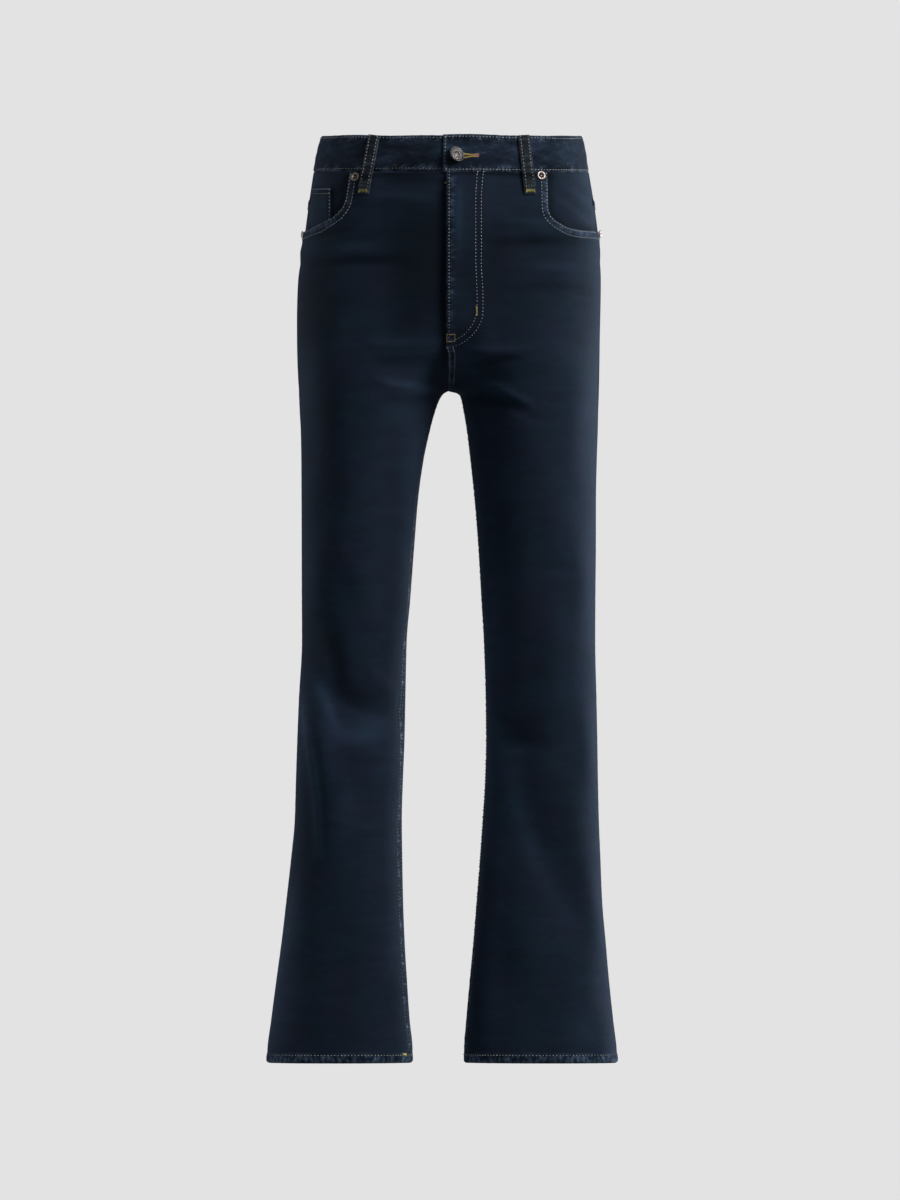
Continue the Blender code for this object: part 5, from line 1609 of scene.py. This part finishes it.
def weave_group():
    """Denim's weave: colour from mottling, slubs, wear and painted light and shade, and the bump of its
    twill.
    """
    tree = bpy.data.node_groups.new("denim_weave", "ShaderNodeTree")
    face = tree.interface
    for label, kind, value in (
        ("Colour", "NodeSocketColor", (0.02, 0.03, 0.06, 1.0)),
        ("Worn Colour", "NodeSocketColor", (0.1, 0.12, 0.17, 1.0)),
        ("Wear", "NodeSocketFloat", 0.0),
        ("Painted_Light_And_Fade", "NodeSocketFloat", 0.0),
        ("Rope", "NodeSocketVector", (0.0, 0.0, 0.0)),
        ("Mottling", "NodeSocketFloat", 0.3),
        ("Relief", "NodeSocketFloat", 0.4),
    ):
        face.new_socket(label, in_out="INPUT", socket_type=kind).default_value = value
    face.new_socket("Colour", in_out="OUTPUT", socket_type="NodeSocketColor")
    face.new_socket("Normal", in_out="OUTPUT", socket_type="NodeSocketVector")
    given = tree.nodes.new("NodeGroupInput").outputs
    result = tree.nodes.new("NodeGroupOutput").inputs
    cloth = linked(tree, "ShaderNodeUVMap", {}, uv_map="cloth").outputs["UV"]
    space = object_space(tree)

    # Threads and patches of the cloth, and the colour that they give it
    low_space = stretched(tree, space, (0.5, 0.5, 1.5))
    broad = noise(tree, low_space, 44.0, 3.0)
    patch = noise(tree, low_space, 150.0, 3.0, 0.6)
    warp = noise(tree, stretched(tree, cloth, (1500.0, 120.0, 1.0)), 1.0)
    weft = noise(tree, stretched(tree, cloth, (260.0, 1900.0, 1.0)), 1.0)
    total = 0.0
    for value, share in ((broad, 1.6), (patch, 0.9), (warp, 1.0), (weft, 0.6)):
        part = maths(tree, "MULTIPLY", maths(tree, "ADD", value, -0.5), share)
        total = maths(tree, "ADD", total, part)
    amount = maths(tree, "EXPONENT", maths(tree, "MULTIPLY", total, given["Mottling"]))
    cast = spread(tree, noise(tree, space, 24.0), 0.38, 0.62)
    tint = mixed(tree, cast, (0.90, 1.03, 0.99, 1.0), (1.10, 0.97, 1.01, 1.0))
    dyed = linked(tree, "ShaderNodeVectorMath", {0: given["Colour"], 1: tint}, operation="MULTIPLY")
    mottled = scaled(tree, dyed.outputs[0], amount)

    # Gathers along the seams, with painted shade in their hollows, the rubbed edges and the painted light and
    # shade of the folds
    strength = linked(tree, "ShaderNodeSeparateXYZ", {"Vector": given["Rope"]}).outputs["Z"]
    twist = noise(tree, stretched(tree, given["Rope"], (90.0, 230.0, 0.0)), 1.0, 1.0)
    gather = maths(tree, "MULTIPLY", spread(tree, twist, 0.34, 0.66, -1.0, 1.0), strength)
    edge = maths(tree, "MULTIPLY_ADD", gather, 0.70, given["Wear"], clamp=True)
    wear = maths(tree, "MULTIPLY", edge, spread(tree, patch, 0.35, 0.65))
    shown = mixed(tree, wear, mottled, given["Worn Colour"])
    # Lighter on the gathers' ridges, partly real roping, and darker in their hollows as painted shade; then
    # the painted light and shade of the folds
    share = maths(tree, "EXPONENT", maths(tree, "MULTIPLY_ADD", gather, 0.60, given["Painted_Light_And_Fade"]))
    tree.links.new(scaled(tree, shown, share), result["Colour"])

    # Relief of the twill, the warp, the patches and the gathers
    waves = {"Scale": 1.0, "Distortion": 1.2, "Detail": 1.0}
    waves["Vector"] = stretched(tree, cloth, (900.0, 900.0, 900.0), math.radians(62.0))
    twill = linked(tree, "ShaderNodeTexWave", waves).outputs["Fac"]
    height = maths(tree, "MULTIPLY", twill, 0.5)
    for value, share in ((warp, 0.9), (patch, 2.2), (gather, 1.5)):
        height = maths(tree, "MULTIPLY_ADD", value, share, height)
    tree.links.new(raised(tree, height, given["Relief"], 0.0004), result["Normal"])
    return tree


def denim(name, weave, colour, worn, mottling, relief, sheen):
    """A denim material: the weave group with its own colours, and a soft sheen."""
    made, tree, shader = new_material(name, 0.88, 0.08)
    cloth = linked(tree, "ShaderNodeGroup", {}, node_tree=weave)
    # Wear, the painted light and shade, and the seams' gathers are read from the cloth's attributes
    for label, output in (("Wear", "Fac"), ("Painted_Light_And_Fade", "Fac"), ("Rope", "Vector")):
        own = linked(tree, "ShaderNodeAttribute", {}, attribute_name=label.lower())
        tree.links.new(own.outputs[output], cloth.inputs[label])
    cloth.inputs["Colour"].default_value = (*colour, 1.0)
    cloth.inputs["Worn Colour"].default_value = (*worn, 1.0)
    cloth.inputs["Mottling"].default_value = mottling
    cloth.inputs["Relief"].default_value = relief
    tree.links.new(cloth.outputs["Colour"], shader.inputs["Base Color"])
    tree.links.new(cloth.outputs["Normal"], shader.inputs["Normal"])
    shader.inputs["Sheen Weight"].default_value = sheen
    shader.inputs["Sheen Roughness"].default_value = 0.45
    shader.inputs["Sheen Tint"].default_value = (0.35, 0.58, 1.0, 1.0)
    return made


def thread_material(name, colour, dark):
    """Sewing thread: its colour varies from stitch to stitch, and fine twists cross it."""
    made, tree, shader = new_material(name, 0.55, 0.35)
    space = object_space(tree)
    share = spread(tree, noise(tree, space, 160.0), 0.3, 0.7)
    tree.links.new(mixed(tree, share, (*dark, 1.0), (*colour, 1.0)), shader.inputs["Base Color"])
    plies = noise(tree, space, 5200.0, 1.0)
    tree.links.new(raised(tree, plies, 0.5, 0.0001), shader.inputs["Normal"])
    shader.inputs["Sheen Weight"].default_value = 0.3
    return made


def tape_material():
    """The zip's woven tape, dark and close."""
    made, tree, shader = new_material("zip_tape", 0.80, 0.20)
    close = noise(tree, object_space(tree), 900.0)
    shown = mixed(tree, close, (0.006, 0.007, 0.011, 1.0), (0.022, 0.026, 0.038, 1.0))
    tree.links.new(shown, shader.inputs["Base Color"])
    tree.links.new(raised(tree, close, 0.4, 0.0002), shader.inputs["Normal"])
    return made


def metal_material(name, colour, dull, rough):
    """Aged metal: duller in patches, finely scratched."""
    made, tree, shader = new_material(name, rough, 0.5)
    shader.inputs["Metallic"].default_value = 1.0
    patch = noise(tree, object_space(tree), 650.0, 4.0, 0.6)
    share = spread(tree, patch, 0.35, 0.65)
    tree.links.new(mixed(tree, share, (*dull, 1.0), (*colour, 1.0)), shader.inputs["Base Color"])
    tree.links.new(spread(tree, patch, 0.3, 0.7, rough + 0.15, rough), shader.inputs["Roughness"])
    tree.links.new(raised(tree, patch, 0.25, 0.0002), shader.inputs["Normal"])
    return made


def turned_piece(name, node, profile, ripple, place, way, material, sides=48):
    """Metal turned from (radius, height) points in a solid's place, rippled round where ripple says."""
    angles = np.linspace(0.0, 2 * math.pi, sides, endpoint=False)
    way = Vector(way).normalized()
    turn = np.array(Vector((0.0, 0.0, 1.0)).rotation_difference(way).to_matrix())
    rings = []
    for (radius, height), wave in zip(profile, ripple):
        up = height + wave * np.cos(angles * RIPPLES)
        rings.append(np.stack([radius * np.cos(angles), radius * np.sin(angles), up + 0 * angles], axis=1))
    points = np.concatenate(rings) @ turn.T + np.asarray(place)
    mesh = bpy.data.meshes.new(name)
    faces = []
    for ring in range(len(profile) - 1):
        for step in range(sides):
            after = (step + 1) % sides
            a = ring * sides
            faces.append((a + step, a + after, a + sides + after, a + sides + step))
    faces.append(tuple(range(sides))[::-1])
    faces.append(tuple((len(profile) - 1) * sides + step for step in range(sides)))
    mesh.from_pydata(points.tolist(), [], faces)
    mesh.materials.append(material)
    mesh.polygons.foreach_set("use_smooth", np.ones(len(mesh.polygons), bool))
    made = placed(name, mesh)
    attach(made, "root")
    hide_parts(node)


def seat_on(laid, half, place, lift):
    """The spot on a front that's seen at a place of (distance, height), and the cloth's direction there."""
    line, ways = map_line(half, "front", (place, (place[0], place[1] - 0.001)), 2)
    seats, normal = laid["front_" + half]["surface"].lay(line, ways, lift)
    return seats[0], normal[0]


def inset(laid, side, distance, upright=False):
    """A line on a piece of cloth at a distance from one of its sides, or at a height from it if upright."""
    outer, facing = laid["outer"], laid["facing"]
    turns = {
        "first": lambda g: g,
        "last": lambda g: g[:, ::-1],
        "top": lambda g: g.transpose(1, 0, 2),
        "bottom": lambda g: g[::-1].transpose(1, 0, 2),
    }
    outer, facing = turns[side](outer), turns[side](facing)
    steps = np.diff(outer, axis=1)
    steps = np.abs(steps[..., 2]) if upright else np.linalg.norm(steps, axis=2)
    length = np.concatenate([np.zeros((len(outer), 1)), np.cumsum(steps, axis=1)], axis=1)
    line = np.empty((len(outer), 3))
    for row in range(len(outer)):
        for axis in range(3):
            raised = outer[row, :, axis] + facing[row, :, axis] * THREAD_LIFT
            line[row, axis] = np.interp(distance, length[row], raised)
    return line


def between(line, low, high):
    """The part of a line between two heights."""
    return line[(line[:, 2] > low) & (line[:, 2] < high)]


def tack(laid, across, down, length, width, turns, upright):
    """A bartack on a piece, about the place at its shares across and down."""
    rows, columns = laid["outer"].shape[:2]
    row, column_at = round(down * (rows - 1)), round(across * (columns - 1))
    centre, way = laid["outer"][row, column_at], laid["facing"][row, column_at]
    along = (0.0, 0.0, 1.0) if upright else np.cross(way, (0.0, 0.0, 1.0))
    return bartack(centre, way, along, length, width, turns)


def sewing(laid):
    """Every row of stitches, as lines on the finished cloth: the usual rows, the loops' and the inseams'."""
    usual, on_loops, inseams = [], [], []
    for half in SIGN:
        front, back = laid["front_" + half], laid["back_" + half]
        edge_x, edge_z = edge_curve(half, EDGE_POINTS)
        edge, ways = form_line(half, "front", edge_z, fraction_at(half, "front", edge_z, edge_x))
        for distance in (ROW_ONE, ROW_TWO):
            moved = shifted(edge, ways, -SIGN[half] * distance)
            usual.append(front["surface"].lay(moved, ways, THREAD_LIFT)[0][4:-2])
        for distance in (ROW_ONE, INSEAM_ROW):
            inseams.append(between(inset(front, "first", distance), HEM + 0.010, CROTCH - 0.004))
        hem_row = inset(front, "bottom", HEM_TURN - 0.0005)
        usual.append(hem_row[1:-1])
        usual.append(inset(back, "bottom", HEM_TURN - 0.0005)[1:-1])
        yoke_piece, patch = laid["yoke_" + half], laid["back_pocket_" + half]
        for distance in (ROW_ONE, ROW_TWO):
            usual.append(inset(yoke_piece, "bottom", distance)[1:-1])
            for side in ("first", "last", "bottom"):
                usual.append(inset(patch, side, distance)[2:-2])
        for distance in PATCH_TOP_ROWS:
            usual.append(inset(patch, "top", distance)[2:-2])
    left_front = laid["front_left"]
    usual.append(between(inset(left_front, "first", FLY_EDGE_ROW), FLY_BOTTOM + 0.004, PANEL_TOP - 0.001))
    for distance in (ROW_ONE, ROW_TWO):
        usual.append(between(inset(left_front, "first", distance), CROTCH + 0.003, FLY_BOTTOM - 0.002))
        usual.append(between(inset(laid["back_left"], "first", distance), CROTCH + 0.003, YOKE_CENTRE))
        usual.append(between(inset(laid["yoke_left"], "first", distance), YOKE_CENTRE, PANEL_TOP - 0.001))
    for points in (FLY_OUTER, FLY_INNER):
        line, ways = map_line("left", "front", points, 120)
        usual.append(laid["front_left"]["surface"].lay(line, ways, THREAD_LIFT)[0])
    coin = laid["coin_pocket"]
    usual += [inset(coin, "top", ROW_ONE)[1:-1], inset(coin, "top", ROW_TWO - 0.0008)[1:-1]]
    usual.append(inset(coin, "first", ROW_ONE)[2:])
    band = laid["waistband"]
    usual.append(inset(band, "top", BAND_TOP_ROW, True)[2:-2])
    usual.append(inset(band, "bottom", BAND_LOW_ROW, True)[2:-2])
    usual.append(inset(band, "first", ROW_ONE)[3:-3])
    for row in LOOPS:
        for side in ("first", "last"):
            on_loops.append(inset(laid[row[0]], side, LOOP_ROW)[1:-1])
    return usual, on_loops, inseams


def buttonhole(surface):
    """The keyhole's threads, the black lines painting the shade in its slit, and its end tack, as lines on
    the waistband.
    """
    whip, slit, end = [], [], []
    for x in np.arange(HOLE_START, HOLE_END, HOLE_STEP):
        part = (x - HOLE_START) / (HOLE_END - HOLE_START)
        inner = HOLE_SLIT[0] + HOLE_SLIT[1] * (1 - part)
        reach = HOLE_REACH[0] + HOLE_REACH[1] * (1 - part)
        for side in (-1.0, 1.0):
            whip.append([(x, z) for z in HOLE_Z + side * np.linspace(inner, reach, 3)])
        slit.append([(x, z) for z in HOLE_Z + np.linspace(-inner, inner, 3)])
    for x in np.arange(HOLE_END, HOLE_TACK_END, HOLE_STEP):
        end.append([(x, z) for z in HOLE_Z + np.array((-HOLE_TACK_HALF, 0.0, HOLE_TACK_HALF))])
    out = []
    for lines in (whip, slit, end):
        laid = []
        for line in lines:
            place = np.array([(x, AHEAD, z) for x, z in line])
            laid.append(surface.lay(place, np.tile((0.0, -1.0, 0.0), (len(place), 1)), THREAD_LIFT)[0])
        out.append(laid)
    return out


def light(name, place, size, power, colour):
    """A soft rectangular light."""
    data = bpy.data.lights.new(name, "AREA")
    data.shape = "RECTANGLE"
    data.size, data.size_y = size
    data.energy = power
    data.color = colour
    made = placed(name, data)
    made.location = place
    made.rotation_euler = (Vector(LIGHT_AIM) - Vector(place)).to_track_quat("-Z", "Y").to_euler()


def studio():
    """A plain pale floor and backdrop, soft lights and the camera."""
    pale = bpy.data.materials.new("pale_studio")
    pale.use_nodes = True
    shader = pale.node_tree.nodes["Principled BSDF"]
    shader.inputs["Base Color"].default_value = (0.0, 0.0, 0.0, 1.0)
    shader.inputs["Specular IOR Level"].default_value = 0.0
    shader.inputs["Emission Color"].default_value = (STUDIO_GREY, STUDIO_GREY, STUDIO_GREY, 1.0)
    shader.inputs["Emission Strength"].default_value = 1.0
    profile = [(FLOOR_FRONT, FLOOR)]
    for angle in np.linspace(0.0, math.pi / 2, 17):
        profile.append((BACKDROP - 1.0 + math.sin(angle), FLOOR + 1.0 - math.cos(angle)))
    profile.append((BACKDROP, BACKDROP_TOP))
    points = [(side, y, z) for y, z in profile for side in (-FLOOR_SIDE, FLOOR_SIDE)]
    faces = [(2 * i, 2 * i + 1, 2 * i + 3, 2 * i + 2) for i in range(len(profile) - 1)]
    mesh = bpy.data.meshes.new("floor")
    mesh.from_pydata(points, [], faces)
    mesh.materials.append(pale)
    mesh.polygons.foreach_set("use_smooth", np.ones(len(mesh.polygons), bool))
    floor = placed("floor", mesh)
    floor.visible_diffuse = False
    floor.visible_glossy = False
    for name, row in LIGHTS.items():
        light(name, *row)
    world = bpy.data.worlds.new("soft_room")
    world.use_nodes = True
    world.node_tree.nodes["Background"].inputs["Color"].default_value = (1.0, 1.0, 1.0, 1.0)
    world.node_tree.nodes["Background"].inputs["Strength"].default_value = ROOM_STRENGTH
    bpy.context.scene.world = world
    bpy.context.scene.view_settings.view_transform = "Standard"
    camera = placed("camera", bpy.data.cameras.new("camera"))
    camera.data.sensor_width = SENSOR
    camera.data.lens = SENSOR * CAMERA_DISTANCE / VIEW_HEIGHT
    camera.location = CAMERA_PLACE
    camera.rotation_euler = (math.pi / 2, 0.0, 0.0)
    bpy.context.scene.camera = camera


def all_materials():
    """Every material by its name."""
    weave = weave_group()
    made = [denim(row[0], weave, *row[1:]) for row in DENIMS]
    made += [thread_material(*row) for row in THREADS]
    made += [metal_material(*row) for row in METALS]
    return {material.name: material for material in [*made, tape_material()]}


def cloth_pieces(paint):
    """Builds every piece of cloth in its solid's place, and returns what threads and metal are laid on."""
    usual = (paint["denim_outside"], paint["denim_inside"])
    band = (paint["denim_waistband"], paint["denim_waistband"])
    strip = (paint["denim_loops"], paint["denim_inside"])
    makers = {
        "front_": front_panel, "back_": back_panel, "yoke_": yoke, "pocket_facing_": pocket_facing,
        "back_pocket_": back_pocket,
    }
    plan = [(name + half, half, maker(half), usual) for half in SIGN for name, maker in makers.items()]
    plan.append(("coin_pocket", "right", coin_pocket(), usual))
    plan.append(("fly_shield", "left", fly_shield(), usual))
    plan.append(("waistband", "left", waistband(), band))
    plan += [(row[0], row[1], belt_loop(*row[1:]), strip) for row in LOOPS]
    laid = {}
    for node, half, made, materials in plan:
        cloth = cloth_object(node + "_cloth", made, materials)
        outer, facing = own_side(half, made["outer"]), own_side(half, made["facing"])
        laid[node] = {"outer": outer, "facing": facing, "surface": Surface(outer), "cloth": cloth}
        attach(cloth, "root")
        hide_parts(node)
    return laid


def gold_tacks(laid):
    """The bartacks of the belt loops and the short tacks on the fronts, as lines on the cloth."""
    gold = []
    for row in LOOPS:
        gold.append(tack(laid[row[0]], *LOOP_TACK))
    for half, way, place, length, width, turns in SMALL_TACKS:
        seat, normal = seat_on(laid, half, place, 0.0)
        zigzag = bartack(seat, normal, way, length, width, turns)
        surface = laid["front_" + half]["surface"]
        gold.append(surface.lay(zigzag, np.tile(normal, (len(zigzag), 1)), 2 * THREAD_LIFT)[0])
    return gold


def sew(laid, paint):
    """Lays every thread: the rows of stitches, black grains painting the shade in their holes, the tacks, the
    fly's box and the buttonhole.
    """
    stitches, tracks = running_stitch_tree(), laid_thread_tree()
    rows, loop_rows, inseam_rows = sewing(laid)
    threads("stitches", rows, stitches, {"Material": paint["pale_thread"]})
    threads("loop_stitches", loop_rows, stitches, {"Material": paint["pale_thread"]})
    threads("inseam_stitches", inseam_rows, stitches, {"Material": paint["dim_thread"]})
    # Black grains between the stitches: painted shade in the stitch holes
    hole = {"Material": paint["painted_shade_black"], "Start": STITCH_PITCH / 2, "Length": HOLE, "Thread": HOLE}
    threads("stitch_hole_shade", rows + loop_rows + inseam_rows, stitches, hole)
    threads("gold_tacks", gold_tacks(laid), tracks, {"Material": paint["gold_thread"]})
    box = []
    for corners in zip(FLY_BOX, FLY_BOX[1:] + FLY_BOX[:1]):
        line, ways = map_line("left", "front", corners, 12)
        box.append(laid["front_left"]["surface"].lay(line, ways, THREAD_LIFT)[0])
    whip, slit, end = buttonhole(laid["waistband"]["surface"])
    # The slit's black lines are painted shade in the opening
    for name, lines, colour in (
        ("fly_box", box, "ochre_thread"), ("buttonhole_threads", whip, "ochre_thread"),
        ("buttonhole_tack", end, "copper_thread"), ("buttonhole_slit_shade", slit, "painted_shade_black"),
    ):
        threads(name, lines, tracks, {"Material": paint[colour], "Thread": FINE_THREAD})


def fix_metal(laid, paint):
    """Sets the button on the waistband and a rivet at both ends of each pocket opening."""
    place = np.array([(BUTTON_X, AHEAD, BUTTON_Z)])
    seat, normal = laid["waistband"]["surface"].lay(place, [(0.0, -1.0, 0.0)], 0.0)
    centre = seat[0] + normal[0] * BUTTON_RAISED
    tilt = Vector(normal[0]) * BUTTON_UPRIGHT + Vector(BUTTON_LEAN)
    steel = paint["button_steel"]
    turned_piece("button_metal", "button", BUTTON_PROFILE, BUTTON_RIPPLE, centre, tilt, steel, 72)
    for half, place in RIVETS.items():
        metal = paint["aged_bronze" if half == "right" else "rosy_nickel"]
        seat, normal = seat_on(laid, half, place, RIVET_RAISED)
        smooth = (0.0,) * len(RIVET_PROFILE)
        turned_piece("rivet_metal_" + half, "rivet_" + half, RIVET_PROFILE, smooth, seat, normal, metal)
        node = "rivet_side_" + half
        low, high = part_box(node)
        way = Vector((SIGN[half], SIDE_RIVET_FORWARD, 0.0)).normalized()
        seat = (low + high) / 2 - way * SIDE_RIVET_SUNK
        turned_piece("rivet_side_metal_" + half, node, SIDE_RIVET_PROFILE, smooth, seat, way, metal)


def main():
    """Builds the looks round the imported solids."""
    for old in list(bpy.data.objects):
        bpy.data.objects.remove(old, do_unlink=True)
    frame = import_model()
    paint = all_materials()
    laid = cloth_pieces(paint)
    frame["nodes"]["zip"].material_slots[0].material = paint["zip_tape"]
    sew(laid, paint)
    fix_metal(laid, paint)
    studio()


main()
